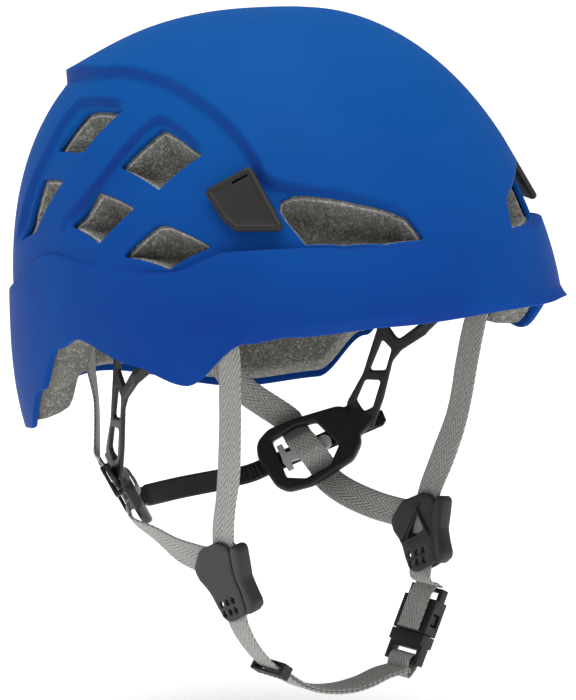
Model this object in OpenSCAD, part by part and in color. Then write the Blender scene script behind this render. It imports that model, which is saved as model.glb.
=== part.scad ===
// Climbing helmet: hard shell, foam liner, headband, webbing and chin buckle.
// Millimetres. The wearer looks along -Y, the wearer's left is +X and +Z is up.
// The origin is the centre of the head opening, level with the shell's side edge.

/* [Shell] */
// Half of the shell's greatest width
half_width = 111; // [108:1:114]
// Length of the shell in front of the origin
front_length = 123; // [120:1:127]
// Length of the shell behind the origin
rear_length = 161; // [157:1:166]
// Height of the crown above the origin
crown_height = 143; // [140:1:147]
// Thickness of the shell's wall
shell_wall = 2.6; // [2.2:0.1:3]
// Depth of the recess on each side that holds the headlamp clip
recess_depth = 6; // [5.5:0.1:6.5]

/* [Foam] */
// Air gap between shell and foam
foam_gap = 0.8; // [0.6:0.1:1]
// Thickness of the foam liner
foam_wall = 18; // [16:1:19]
// Latitude where the side foam ends and the crown foam begins
foam_split = 55; // [53:1:58]

/* [Webbing] */
// Width of every strap
web_width = 15; // [14:0.5:15]
// Thickness of every strap
web_thick = 1.4; // [1.2:0.1:1.5]

/* [Headband] */
// Thickness of the ladder-shaped side arm
arm_thick = 2.2; // [1.8:0.1:2.4]
// Radius of the pin that each side arm turns on
arm_pin_r = 2.5; // [2:0.1:2.7]
// Radial clearance of every turning fit
turn_gap = 0.05; // [0.03:0.01:0.1]
// Width of the toothed nape band
nape_width = 11; // [9:0.5:11.5]

/* [Buckle] */
// Width of the chin buckle's body
buckle_width = 21; // [20:0.5:22]
// Thickness of the chin buckle's body
buckle_thick = 8; // [8:0.5:9]

/* [Hidden] */

blue = "#1d4fb4";
foam_grey = "#8b8983";
pale_foam = "#b9b7b0";
soft_black = "#26272a";
divider_grey = "#3a3b3d";
web_grey = "#a7a8a6";
pawl_grey = "#b4b7b8";

// Exponents of the shell's superellipse, in plan and in section at front, side and rear
plan_curve = 2.13;
front_curve = 1.6;
side_curve = 2.09;
rear_curve = 2.64;
// How fast the wall closes in below the origin, at the front and at the rear
front_drop = 260;
rear_drop = 122;

// The shell's lower edge: pairs of azimuth from the front and latitude
rim_marks = [[0, 8.1], [25, 7.4], [45, 6], [54, 4.6], [69, -5.4], [84, -2.4], [104, 1.3],
             [113, -2], [122, -12], [134, -21], [148, -21.5], [180, -15]];

// Vents on the left side, as corners of azimuth and latitude, mirrored to the right
vents = [
    [[120, 45], [106, 49.5], [112, 39.5], [127, 36.5]],
    [[131, 29.5], [118, 32.5], [120, 28.5], [124, 23], [133.5, 17]],
    [[84.5, 47], [69.5, 42.5], [80, 35.5], [96.5, 39]],
    [[104, 33], [87.5, 31], [98, 23], [110.5, 24.5]],
    [[75.5, 28], [63.5, 24], [73.5, 19.5], [86, 21]],
    [[32.5, 33.5], [19, 30], [14.5, 24], [29, 24], [42, 24.5], [47.3, 31], [47.5, 33], [45, 35]]
];

liner_out = shell_wall + foam_gap;
liner_in = liner_out + foam_wall;

// ---- curved skins ----

function unit(v) = v / norm(v);

// Smooth step between two marks
function eased(t) = t * t * (3 - 2 * t);

function rim_at(az, i = 0) =
    az <= rim_marks[i + 1][0] || i == len(rim_marks) - 2
        ? rim_marks[i][1] + (rim_marks[i + 1][1] - rim_marks[i][1])
            * eased((az - rim_marks[i][0]) / (rim_marks[i + 1][0] - rim_marks[i][0]))
        : rim_at(az, i + 1);

function rim_latitude(az) = rim_at(az > 180 ? 360 - az : abs(az));

function plan_radius(az) =
    pow(pow(abs(sin(az)) / half_width, plan_curve)
        + pow(abs(cos(az)) / (cos(az) > 0 ? front_length : rear_length), plan_curve), -1 / plan_curve);

function section_curve(az) =
    side_curve + ((cos(az) > 0 ? front_curve : rear_curve) - side_curve) * pow(cos(az), 2);

function height_at(az, la) =
    la >= 0 ? crown_height : front_drop + (rear_drop - front_drop) * (1 - cos(az)) / 2;

function shell_radius(az, la) =
    let (q = section_curve(az))
    pow(pow(cos(la) / plan_radius(az), q) + pow(abs(sin(la)) / height_at(az, la), q), -1 / q);

// 1 inside a span, easing to 0 over the given distance within each end
function within(v, from, to, ease) =
    eased(max(0, min(1, (v - from) / ease))) * eased(max(0, min(1, (to - v) / ease)));

// Depth of the side recess, between a ledge below and the edge of the crown panel above;
// grow widens it, for the foam behind
function recess(az, la, grow = 0) =
    let (side = abs(az > 180 ? az - 360 : az),
         ledge = 22.5 - 5 * eased(max(0, min(1, (side - 60) / 12))) - grow,
         crown_edge = min(52.5, 31 + side * side / 230) + grow)
    recess_depth * within(side, 13 - 2 * grow, 92 + 2 * grow, 16) * within(la, ledge, crown_edge, 4);

function skin_point(az, la, inset) =
    let (r = shell_radius(az, la) - inset)
    [r * cos(la) * sin(az), -r * cos(la) * cos(az), r * sin(la)];

// Rows of points from a lower to an upper latitude, each given as a function of azimuth;
// the recess deepens them by recessed times its own depth
function skin_grid(azimuths, low, high, rows, inset, recessed = 1, grow = 0) =
    [for (i = [0:rows])
        [for (az = azimuths)
            let (la = low(az) + (high(az) - low(az)) * i / rows)
            skin_point(az, la, inset + recessed * recess(az, la, grow))]];

function quad(a, b, c, d) = [[a, b, c], [a, c, d]];

// A closed solid between an outer and an inner grid; wrap joins the ends, apex closes the top
module skin_solid(outer, inner, wrap = true, apex = []) {
    cols = len(outer[0]);
    top = len(outer) - 1;
    size = len(outer) * cols;
    last = wrap ? cols - 1 : cols - 2;
    function at(i, j) = i * cols + j % cols;
    function in(i, j) = size + at(i, j);
    walls = [for (i = [0:top - 1], j = [0:last]) each concat(
        quad(at(i, j), at(i + 1, j), at(i + 1, j + 1), at(i, j + 1)),
        quad(in(i, j), in(i, j + 1), in(i + 1, j + 1), in(i + 1, j)))];
    foot = [for (j = [0:last]) each quad(at(0, j), at(0, j + 1), in(0, j + 1), in(0, j))];
    head = [for (j = [0:last]) each len(apex) > 0
        ? [[at(top, j), 2 * size, at(top, j + 1)], [in(top, j + 1), 2 * size + 1, in(top, j)]]
        : quad(in(top, j), in(top, j + 1), at(top, j + 1), at(top, j))];
    ends = wrap ? [] : [for (i = [0:top - 1]) each concat(
        quad(at(i, 0), in(i, 0), in(i + 1, 0), at(i + 1, 0)),
        quad(at(i, last + 1), at(i + 1, last + 1), in(i + 1, last + 1), in(i, last + 1)))];
    points = concat([for (row = outer) each row], [for (row = inner) each row], apex);
    polyhedron(points, concat(walls, foot, head, ends), convexity = 8);
}

around = [for (az = [0:5:355]) az];

// A dome from a lower edge up to the crown
module dome(low, rows, inset_out, inset_in) {
    top = function(az) 90 - 60 / rows;
    skin_solid(skin_grid(around, low, top, rows, inset_out),
               skin_grid(around, low, top, rows, inset_in),
               apex = [skin_point(0, 90, inset_out), skin_point(0, 90, inset_in)]);
}

// A patch between two azimuths and two latitudes
module patch(az_from, az_to, la_from, la_to, inset_out, inset_in, cols = 12, rows = 4) {
    azimuths = [for (j = [0:cols]) az_from + (az_to - az_from) * j / cols];
    low = function(az) la_from;
    high = function(az) la_to;
    skin_solid(skin_grid(azimuths, low, high, rows, inset_out, recessed = 0),
               skin_grid(azimuths, low, high, rows, inset_in, recessed = 0), wrap = false);
}

// The solid that a vent cuts away, between two insets from the shell's outside
module vent_cutter(corners, side, inset_out, inset_in) {
    n = len(corners);
    mid = [for (k = [0, 1]) [for (c = corners) c[k]] * [for (c = corners) 1] / n];
    ring = function(inset) [for (c = corners) skin_point(side * c[0], c[1], inset)];
    points = concat(ring(inset_out), ring(inset_in),
                    [skin_point(side * mid[0], mid[1], inset_out),
                     skin_point(side * mid[0], mid[1], inset_in)]);
    faces = [for (j = [0:n - 1]) let (k = (j + 1) % n) each
        [[j, 2 * n, k], [n + k, 2 * n + 1, n + j], [j, k, n + k], [j, n + k, n + j]]];
    turned = [for (f = faces) [f[2], f[1], f[0]]];
    polyhedron(points, side > 0 ? faces : turned, convexity = 4);
}

// ---- local frames ----

// Puts children in a frame with the given origin and unit axes
module in_frame(o, ex, ey, ez) {
    multmatrix([[ex.x, ey.x, ez.x, o.x], [ex.y, ey.y, ez.y, o.y], [ex.z, ey.z, ez.z, o.z], [0, 0, 0, 1]])
        children();
}

// Side 1 is the wearer's left and side -1 the wearer's right
module on_side(side) {
    mirror([side < 0 ? 1 : 0, 0, 0]) children();
}

function from_frame(f, p) = f[0] + p.x * f[1] + p.y * f[2] + p.z * f[3];

// A frame from its origin, its X axis and a vector near its Y axis
function frame_of(o, x_axis, near_y) =
    let (ex = unit(x_axis), ey = unit(near_y - (near_y * ex) * ex))
    [o, ex, ey, cross(ex, ey)];

module in_named(f) {
    in_frame(f[0], f[1], f[2], f[3]) children();
}

// ---- straps ----

// Catmull-Rom point between p1 and p2
function spline(p0, p1, p2, p3, t) =
    0.5 * (2 * p1 + (p2 - p0) * t + (2 * p0 - 5 * p1 + 4 * p2 - p3) * t * t
           + (3 * p1 - p0 - 3 * p2 + p3) * t * t * t);

function smooth_path(pts, steps) =
    let (n = len(pts))
    concat([for (i = [0:n - 2], k = [0:steps - 1])
        spline(pts[max(i - 1, 0)], pts[i], pts[i + 1], pts[min(i + 2, n - 1)], k / steps)],
        [pts[n - 1]]);

// A flat strap along a route; wides holds the direction across the strap at each point
module strap(route, wides, width = web_width, thick = web_thick, steps = 4) {
    line = smooth_path(route, steps);
    across = smooth_path(wides, steps);
    n = len(line);
    tangents = [for (i = [0:n - 1]) unit(line[min(i + 1, n - 1)] - line[max(i - 1, 0)])];
    wide = [for (i = [0:n - 1]) unit(across[i] - (across[i] * tangents[i]) * tangents[i])];
    face = [for (i = [0:n - 1]) cross(tangents[i], wide[i])];
    grid = function(side) [for (e = [-0.5, 0.5])
        [for (i = [0:n - 1]) line[i] + e * width * wide[i] + side * thick / 2 * face[i]]];
    skin_solid(grid(1), grid(-1), wrap = false);
}

// ---- shell and foam ----

module outer_shell() {
    color(blue)
    resize([0, 0, 0])
    difference() {
        dome(function(az) rim_latitude(az), 24, 0, shell_wall);
        for (side = [-1, 1], v = vents) vent_cutter(v, side, -8, shell_wall + 8);
        for (side = [-1, 1]) on_side(side) in_named(clip_frame) clip_slot_hole();
        in_named(rear_clip_frame) clip_slot_hole();
    }
}

module side_liner() {
    low = function(az) rim_latitude(az) + 1.6;
    high = function(az) foam_split;
    color(foam_grey)
    resize([0, 0, 0])
    difference() {
        skin_solid(skin_grid(around, low, high, 15, liner_out, grow = 2),
                   skin_grid(around, low, high, 15, liner_in, recessed = 0));
        for (side = [-1, 1]) on_side(side) in_named(clip_frame) clip_slot_hole();
        in_named(rear_clip_frame) clip_slot_hole();
        for (side = [-1, 1], f = pin_frames) on_side(side) in_named(f)
            translate([0, 0, -2]) cylinder(r = arm_pin_r + 0.3, h = 12, $fn = 32);
    }
}

module crown_liner() {
    color(pale_foam)
    dome(function(az) foam_split + 0.6, 6, liner_out, liner_in);
}

pad_gap = 0.9;
pad_thick = 6;

module forehead_pad() {
    color(soft_black)
    patch(-42, 42, 9.5, 21, liner_in + pad_gap, liner_in + pad_gap + pad_thick);
}

module crown_pad() {
    color(soft_black)
    for (k = [0:3])
        patch(k * 90 + 12, k * 90 + 78, 68, 82, liner_in + pad_gap, liner_in + pad_gap + pad_thick, 6, 2);
}

// ---- headlamp clips ----

clip_normal = [0.768, -0.496, 0.405];
clip_up = [0, 0, 1] - clip_normal.z * clip_normal;
clip_frame = [[85.7, -55.5, 63.2] - 3.2 * clip_normal, unit(cross(clip_up, clip_normal)), unit(clip_up),
              unit(clip_normal)];
rear_clip_at = skin_point(180, 33, 0);
rear_clip_frame = [rear_clip_at + [0, 2, 2], [-1, 0, 0], unit([0, -0.62, 1]), unit([0, 1, 0.62])];
// Outline of a clip plate: x towards the rear, y up
clip_outline = [[-3, 17], [14.5, 5.7], [5, -6.5], [0, -11], [-20.5, -10.6]];
clip_thick = 3;
rear_outline = [[-9, 17], [9, 17], [14, -6], [9, -11], [-9, -11], [-14, -6]];
// Where the clip bends as a lamp band goes under it
clip_axis = [0, 11, -2];

module clip_slot_hole() {
    translate([-5.5, clip_axis.y - 4.5, -12]) cube([11, 8, 14]);
}

module clip_body(outline) {
    union() {
        rounded_plate(outline, clip_thick, 2);
        translate([-4.5, clip_axis.y - 2, -6.5]) cube([9, 3.5, 7]);
    }
}

module headlamp_clip(side) {
    color(soft_black)
    on_side(side) in_named(clip_frame) clip_body(clip_outline);
}

module headlamp_clip_rear() {
    color(soft_black)
    in_named(rear_clip_frame) clip_body(rear_outline);
}

// ---- headband ----

arm_frame = frame_of([84, 30, -10], [-0.272, 0.908, 0.318], [-0.137, 0.29, -0.947]);
frame_frame = frame_of([58, 60, -74], [-0.62, 0.752, -0.232], [-0.232, -0.457, -0.859]);
// The rear and front pins of a side arm
pin_frames = [for (at = [[88.5, 24.5, 5], [88.2, -13, 4]]) [at, [0, 1, 0], [0, 0, 1], [1, 0, 0]]];

arm_outline = [[4, -10], [3.2, 9], [3.2, 32], [7, 50], [-2, 56], [-11, 57], [-11.5, 39], [-10, 20],
               [-12.8, 13], [-24, -1], [-19, -5], [-9.4, 8.8], [-1.6, 4], [-2, -10]];
arm_windows = [[[-1.3, 12], [-7.6, 14.6], [-7.9, 25.6], [0.2, 29]],
               [[1, 34.6], [-7.2, 31.4], [-7.4, 45.6], [-3.4, 49.6], [2.2, 46]]];
frame_outline = [[-22, -16], [6, -13.5], [18, -11], [25, -6.5], [26, -1], [19, 18.5], [14, 22], [1, 21.5],
                 [-21, 13], [-26.5, 4.5]];
frame_window = [[18, -5], [5, -9.6], [-5.5, -9.6], [-15, 4.5], [-9, 13.5], [4, 17.5], [13.5, 15]];
frame_thick = 5;
band_gap = 0.4;
band_thick = 1.8;
// Centre height of the nape band as it crosses a buckle frame
function band_rise(u) = 0.8 + 0.2 * u;

// A round-cornered plate
module rounded_plate(outline, thick, r = 1.5) {
    linear_extrude(thick) offset(r = r) offset(delta = -r) polygon(outline);
}

// A strap bridge on the outer face of a buckle frame
module band_bridge(u, length) {
    translate([u, band_rise(u), -frame_thick / 2]) rotate([0, 0, 11.3])
        difference() {
            translate([-length / 2, -nape_width / 2 - 2.4, -4.6]) cube([length, nape_width + 4.8, 5.1]);
            translate([-length, -nape_width / 2 - band_gap, -2.8])
                cube([2 * length, nape_width + 2 * band_gap, band_thick + 2 * band_gap + 0.2]);
        }
}

module headband_arm(side) {
    color(soft_black)
    on_side(side) difference() {
        union() {
            in_named(arm_frame) translate([0, 0, -arm_thick / 2]) difference() {
                rounded_plate(arm_outline, arm_thick, 1);
                for (w = arm_windows) translate([0, 0, -1]) linear_extrude(arm_thick + 2) polygon(w);
            }
            hull() {
                in_named(arm_frame) translate([-10, 50, -arm_thick / 2]) cube([15, 4, arm_thick]);
                in_named(frame_frame) translate([-23, -14, -2]) cube([4, 18, 3.6]);
            }
            in_named(frame_frame) {
                translate([0, 0, -frame_thick / 2]) difference() {
                    rounded_plate(frame_outline, frame_thick, 3);
                    translate([0, 0, -1]) linear_extrude(frame_thick + 2) polygon(frame_window);
                }
                band_bridge(-18.5, 4);
                band_bridge(20.5, 4);
            }
            for (f = pin_frames) in_named(f)
                translate([0, 0, -3.7]) cylinder(r = 5.5, h = 3.4, $fn = 48);
            hull() {
                in_named(arm_frame) translate([-1, -10, -arm_thick / 2]) cube([4, 4, arm_thick]);
                in_named(pin_frames[0]) translate([0, 0, -3.2]) cylinder(r = 4, h = 2.4, $fn = 32);
            }
            hull() {
                in_named(arm_frame) translate([-22, -3, -arm_thick / 2]) cube([4, 4, arm_thick]);
                in_named(pin_frames[1]) translate([0, 0, -3.2]) cylinder(r = 4, h = 2.4, $fn = 32);
            }
        }
        for (f = pin_frames) in_named(f)
            translate([0, 0, -8]) cylinder(r = arm_pin_r + turn_gap, h = 16, $fn = 64);
    }
}

module arm_pins(side) {
    color(soft_black)
    on_side(side) for (f = pin_frames) in_named(f) union() {
        translate([0, 0, -4.8]) cylinder(r = arm_pin_r, h = 13, $fn = 64);
        translate([0, 0, -6.2]) cylinder(r = 4.2, h = 1.5, $fn = 64);
    }
}

band_level = -frame_thick / 2 - 1.6;

// The nape band's centre line over the left buckle frame and round to the middle of the nape
nape_local = [for (u = [-39, -26, -13, 0, 11, 22]) from_frame(frame_frame, [u, band_rise(u), band_level])];
nape_left = concat(nape_local, [[36.5, 81, -89], [24, 86, -90.5], [12, 88.5, -91]]);
nape_middle = [0, 89, -91];

function mirrored(p) = [-p.x, p.y, p.z];
function reversed(list) = [for (i = [len(list) - 1:-1:0]) list[i]];

// A half route on the left carried over the middle to the right
function both_sides(left, middle) = concat(left, [middle], [for (p = reversed(left)) mirrored(p)]);

nape_wide_left = concat([for (k = nape_local) -frame_frame[2] + 0.2 * frame_frame[1]],
                        [[0.1, 0.4, 0.9], [0.05, 0.25, 0.95], [0, 0.2, 0.97]]);

module nape_band() {
    route = both_sides(nape_left, nape_middle);
    wides = both_sides(nape_wide_left, [0, 0.2, 0.97]);
    color(soft_black) union() {
        strap(route, wides, nape_width, band_thick, 3);
        nape_thickening();
    }
}

// The smooth, thicker middle of the nape band
module nape_thickening() {
    line = [[-24, 86, -90.5], [-12, 88.5, -91], [0, 89, -91], [12, 88.5, -91], [24, 86, -90.5]];
    wides = [for (p = line) [0, 0.2, 0.97]];
    strap(line, wides, nape_width + 1.6, band_thick + 1.4, 3);
}

module pawl_button(side) {
    color(pawl_grey)
    on_side(side) in_named(frame_frame) translate([0, 0, -1.6]) linear_extrude(3) {
        translate([12.8, 4.5]) rotate(17) square([3, 14], center = true);
        translate([2.5, 3.5]) rotate(8) square([24, 5], center = true);
        translate([-8, 1]) circle(r = 3.4, $fn = 32);
    }
}

// ---- dividers ----

divider_frame = frame_of([61, -14, -108], [0.013, -0.997, 0.073], [0.18, 0.074, 0.981]);
// Outline of a divider plate: x forwards, y up, z towards the head
divider_outline = [[1.5, 19.5], [-10, 14.5], [-16.5, 4.5], [-12.5, -4], [-6, -17.5], [-1.5, -19.5],
                   [9.6, -16], [9.6, 17], [7, 19]];
plate_thick = 1.9;
plate_inner = 1.3;
spine_at = 13.2;
spine_r = 3.2;
spine_pin_r = 1.3;
spine_low = -16;
spine_high = 16;
knuckle = 5;
knuckle_gap = 0.4;

module divider_holes() {
    for (i = [0:2], j = [0, 1])
        translate([-2.6 + 3.9 * i + 0.7 * j, -9.6 - 4.4 * j + 1.1 * i]) square(2, center = true);
}

// Round barrels along the divider's spine
module barrel(from, to) {
    translate([spine_at, from, 0]) rotate([-90, 0, 0]) cylinder(r = spine_r, h = to - from, $fn = 64);
}

module spine_web(from, to, z) {
    translate([9, from, z]) cube([spine_at - 9, to - from, plate_thick]);
}

module divider_cover(side) {
    from = spine_low + knuckle + knuckle_gap;
    to = spine_high - knuckle - knuckle_gap;
    color(divider_grey)
    on_side(side) in_named(divider_frame) difference() {
        union() {
            translate([0, 0, -plate_inner - plate_thick]) linear_extrude(plate_thick) difference() {
                polygon(divider_outline);
                divider_holes();
            }
            spine_web(from, to, -plate_inner - plate_thick);
            barrel(from, to);
        }
        translate([spine_at, spine_low - 1, 0]) rotate([-90, 0, 0])
            cylinder(r = spine_pin_r + turn_gap, h = spine_high - spine_low + 2, $fn = 48);
    }
}

module divider_base(side) {
    color(divider_grey)
    on_side(side) in_named(divider_frame) union() {
        translate([0, 0, plate_inner]) linear_extrude(plate_thick) difference() {
            polygon(divider_outline);
            divider_holes();
            polygon([[-0.5, 12], [-6, -3], [4.5, 2]]);
        }
        for (y = [spine_low, spine_high - knuckle]) {
            spine_web(y, y + knuckle, plate_inner);
            barrel(y, y + knuckle);
        }
        translate([spine_at, spine_low + 1, 0]) rotate([-90, 0, 0])
            cylinder(r = spine_pin_r, h = spine_high - spine_low - 2, $fn = 48);
    }
}

// ---- webbing ----

fore = [0, -1, 0];
front_route = [[80.5, -38, 15], [79.5, -37.5, 6], [75.8, -36, -6], [73.5, -33, -25], [71, -29, -50],
               [66.9, -20, -80], from_frame(divider_frame, [2.2, 19, 0]),
               from_frame(divider_frame, [2.2, 2, 0])];
front_wides = [[-0.3, -0.95, 0], [-0.25, -0.97, 0], fore, fore, [0, -1, 0.1], [0.1, -1, 0.05],
               divider_frame[1], divider_frame[1]];

module front_web(side) {
    color(web_grey)
    on_side(side) strap(front_route, front_wides);
}

function in_buckle(u, v, z) = from_frame(frame_frame, [u, v, z]);
// Across the strap where it weaves through a buckle frame
weave_wide = 0.98 * frame_frame[1] + 0.2 * frame_frame[2];
weave_out = -5.2;
weave_in = 3.5;
rear_left = [from_frame(divider_frame, [-6.4, 11, 0]), from_frame(divider_frame, [-16, 12, 0]),
             [63.5, 22, -98.5], in_buckle(-8, 27, weave_out - 1), in_buckle(-6, 18.5, weave_out),
             in_buckle(-4.4, 12.5, weave_out + 0.2), in_buckle(-3, 9.2, -2.2),
             in_buckle(-1.6, 6, weave_in - 0.6), in_buckle(1, 1.5, weave_in + 0.2),
             in_buckle(4, -3.4, weave_in - 0.8),
             in_buckle(5.4, -6.6, -2.2), in_buckle(7, -10.5, weave_out + 0.2), in_buckle(8.6, -14, weave_out),
             in_buckle(11, -18, weave_out), [44, 98, -46], [38, 110, -24], [26, 122, -8]];
rear_wides = concat([divider_frame[2], divider_frame[2], [0.1, 0.2, 0.97], 0.7 * weave_wide + [0, 0, 0.3]],
                    [for (i = [0:9]) weave_wide], [[-0.5, 0.5, -0.3], [-0.75, 0.5, -0.3], [-0.6, 0.3, -0.7]]);

module rear_web() {
    color(web_grey)
    strap(both_sides(rear_left, [0, 130, 0]),
          both_sides(rear_wides, [0, 0.1, -1]));
}

// The chin strap hangs in a plane across the helmet
strap_y = -16.5;
buckle_frame = frame_of([55.5, strap_y, -150.5], [-0.5, 0, -0.866], [0, -1, 0]);
// From the right divider round under the chin to the male half of the buckle
chin_start = [for (y = [-2.5, -12, -19.5]) mirrored(from_frame(divider_frame, [2, y, 0]))];
chin_line = concat(chin_start,
                   [for (p = [[-50.5, -138], [-38, -151.5], [-24, -162], [-9, -168.5], [6, -171.5],
                              [20, -171.5], [32, -170]]) [p[0], strap_y, p[1]]],
                   [from_frame(buckle_frame, [20, 0, 0])]);

module chin_web() {
    color(web_grey) strap(chin_line, [for (p = chin_line) fore]);
}

module chin_web_left() {
    route = [from_frame(divider_frame, [2, -2.5, 0]), from_frame(divider_frame, [2, -12, 0]),
             from_frame(divider_frame, [2, -20.5, 0]), from_frame(buckle_frame, [-20.4, 0, 0])];
    color(web_grey) strap(route, [for (p = route) fore], steps = 3);
}

keeper_frame = frame_of([-37.6, strap_y, -151.8], [0.8, 0, -0.6], [0, -1, 0]);

module strap_keeper() {
    color(soft_black)
    in_named(keeper_frame) difference() {
        translate([-3, -web_width / 2 - 2.6, -3.2]) cube([6, web_width + 5.2, 6.4]);
        translate([-5, -web_width / 2 - 0.5, -1.9]) cube([10, web_width + 1, 3.8]);
    }
}

// ---- chin buckle: x runs from the female half to the male half ----

body_from = -13;
body_to = 4;
wall = 1.8;
window_from = -6.5;
window_to = -0.5;
// Wall left beside the groove that the barbs of the male half pass through
groove_wall = 0.6;

module bar_end(from, length, bar) {
    half = buckle_width / 2;
    difference() {
        translate([from, -half, -2]) cube([length, 2 * half, 4]);
        translate([bar, -web_width / 2 - 0.5, -3]) cube([length - 3, web_width + 1, 6]);
    }
}

module buckle_female() {
    half = buckle_width / 2;
    color(soft_black)
    in_named(buckle_frame) union() {
        difference() {
            translate([body_from, -half, -buckle_thick / 2])
                cube([body_to - body_from, 2 * half, buckle_thick]);
            translate([body_from + wall, -half + wall, -buckle_thick / 2 + wall])
                cube([body_to - body_from, 2 * half - 2 * wall, buckle_thick - 2 * wall]);
            translate([window_from, -half - 1, -buckle_thick / 2 + wall])
                cube([window_to - window_from, 2 * half + 2, buckle_thick - 2 * wall]);
            translate([window_from, -half + groove_wall, -buckle_thick / 2 + wall])
                cube([body_to - window_from + 1, 2 * half - 2 * groove_wall, buckle_thick - 2 * wall]);
        }
        translate([-19, -half, -2]) difference() {
            cube([6.4, 2 * half, 4]);
            translate([2, half - web_width / 2 - 0.5, -1]) cube([4, web_width + 1, 6]);
        }
    }
}

module buckle_male() {
    half = buckle_width / 2;
    color(soft_black)
    in_named(buckle_frame) union() {
        translate([body_to + 0.4, -half, -buckle_thick / 2]) cube([5.5, 2 * half, buckle_thick]);
        translate([9, -half, -2.4]) difference() {
            cube([10, 2 * half, 4.8]);
            translate([3, half - web_width / 2 - 0.5, -1]) cube([4.4, web_width + 1, 7]);
        }
        translate([-8, -1.6, -1.4]) cube([14, 3.2, 2.8]);
        for (s = [-1, 1]) linear_prong(s);
    }
}

// One sprung side arm of the male half, with its barb in the side window
module linear_prong(s) {
    reach = buckle_width / 2 - wall - 0.4;
    translate([0, 0, -1.6]) linear_extrude(3.2)
        polygon([[6, s * (reach - 1.6)], [6, s * (reach - 4)], [-5, s * (reach - 3.4)], [-6, s * (reach - 1)],
                 [-5.8, s * (reach + 1.2)], [-1.4, s * (reach + 1.2)], [-1.4, s * (reach - 1.6)]]);
}

// ---- anchors: buttons that hold the strap ends against the foam ----

module web_anchors() {
    color(soft_black)
    for (side = [-1, 1]) on_side(side)
        in_named([[81.4, -38.3, 12], unit([0.3, 0.95, 0]), [0, 0, 1], unit([0.95, -0.3, 0])])
            cylinder(r = 4, h = 1.2, $fn = 48);
}

outer_shell();
side_liner();
crown_liner();
forehead_pad();
crown_pad();
headlamp_clip(-1);  // headlamp_clip_right
headlamp_clip(1);  // headlamp_clip_left
headlamp_clip_rear();
headband_arm(-1);  // headband_arm_right
headband_arm(1);  // headband_arm_left
arm_pins(-1);  // arm_pins_right
arm_pins(1);  // arm_pins_left
nape_band();
pawl_button(-1);  // pawl_button_right
pawl_button(1);  // pawl_button_left
rear_web();
front_web(-1);  // front_web_right
front_web(1);  // front_web_left
divider_cover(-1);  // divider_cover_right
divider_base(-1);  // divider_base_right
divider_cover(1);  // divider_cover_left
divider_base(1);  // divider_base_left
chin_web();
chin_web_left();
strap_keeper();
buckle_female();
buckle_male();
web_anchors();
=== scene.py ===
"""Looks of the climbing helmet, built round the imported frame.

Lengths in the functions below are millimetres, as in part.scad, and become metres when a mesh is made.
The wearer looks along -Y, the wearer's left is +X. Azimuth is measured from the front and latitude
from the level of the shell's side edge, both in degrees.
"""
import math

import bmesh
import bpy
import numpy as np
from mathutils import Matrix, Vector
from mathutils.geometry import delaunay_2d_cdt


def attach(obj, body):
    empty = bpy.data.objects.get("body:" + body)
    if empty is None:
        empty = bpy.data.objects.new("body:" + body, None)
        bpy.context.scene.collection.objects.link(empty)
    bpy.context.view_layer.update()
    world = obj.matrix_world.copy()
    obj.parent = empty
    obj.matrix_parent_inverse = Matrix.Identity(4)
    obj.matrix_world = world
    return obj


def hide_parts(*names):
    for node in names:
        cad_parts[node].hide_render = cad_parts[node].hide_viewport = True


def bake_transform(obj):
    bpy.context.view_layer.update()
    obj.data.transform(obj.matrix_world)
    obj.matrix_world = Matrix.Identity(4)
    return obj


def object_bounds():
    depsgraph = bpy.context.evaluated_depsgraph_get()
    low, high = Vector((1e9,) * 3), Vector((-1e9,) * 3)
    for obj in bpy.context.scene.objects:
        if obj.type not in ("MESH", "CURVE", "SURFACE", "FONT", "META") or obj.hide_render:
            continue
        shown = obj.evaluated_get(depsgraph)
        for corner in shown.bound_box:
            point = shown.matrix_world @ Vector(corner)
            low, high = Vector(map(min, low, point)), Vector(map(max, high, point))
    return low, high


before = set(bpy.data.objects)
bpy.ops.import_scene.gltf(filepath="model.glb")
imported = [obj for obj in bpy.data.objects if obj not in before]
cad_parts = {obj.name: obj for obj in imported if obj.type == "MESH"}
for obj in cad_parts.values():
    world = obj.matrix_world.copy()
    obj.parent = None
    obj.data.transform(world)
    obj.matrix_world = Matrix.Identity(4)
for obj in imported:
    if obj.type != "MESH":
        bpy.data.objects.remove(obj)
cad_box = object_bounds()
MM = 0.001

# ---------------------------------------------------------------- camera

CAMERA_AZIMUTH, CAMERA_ELEVATION, CAMERA_ROLL = -42.59, 9.03, -0.91
CAMERA_DISTANCE = 1.1449
CAMERA_LENS = 128.9
CAMERA_SHIFT = (-0.0209, -0.0397)


def make_camera():
    """A level camera round the origin, then rolled about its view direction."""
    az, el, roll = (math.radians(a) for a in (CAMERA_AZIMUTH, CAMERA_ELEVATION, CAMERA_ROLL))
    back = Vector((math.sin(az) * math.cos(el), -math.cos(az) * math.cos(el), math.sin(el)))
    level = Vector((math.cos(az), math.sin(az), 0.0))
    up = back.cross(level)
    right = level * math.cos(roll) + up * math.sin(roll)
    above = up * math.cos(roll) - level * math.sin(roll)
    data = bpy.data.cameras.new("camera")
    data.lens = CAMERA_LENS
    data.shift_x, data.shift_y = CAMERA_SHIFT
    camera = bpy.data.objects.new("camera", data)
    turn = Matrix((right, above, back)).transposed().to_4x4()
    camera.matrix_world = Matrix.Translation(back * CAMERA_DISTANCE) @ turn
    bpy.context.scene.collection.objects.link(camera)
    bpy.context.scene.camera = camera


make_camera()

# ---------------------------------------------------------------- small helpers


def unit(v):
    v = np.asarray(v, float)
    return v / np.linalg.norm(v)


def slope(t):
    """A ramp from 0 to 1 with slightly eased ends."""
    t = np.clip(t, 0.0, 1.0)
    return 0.75 * t + 0.25 * t * t * (3 - 2 * t)


def smooth(t):
    t = np.clip(t, 0.0, 1.0)
    return t * t * (3 - 2 * t)


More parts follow.
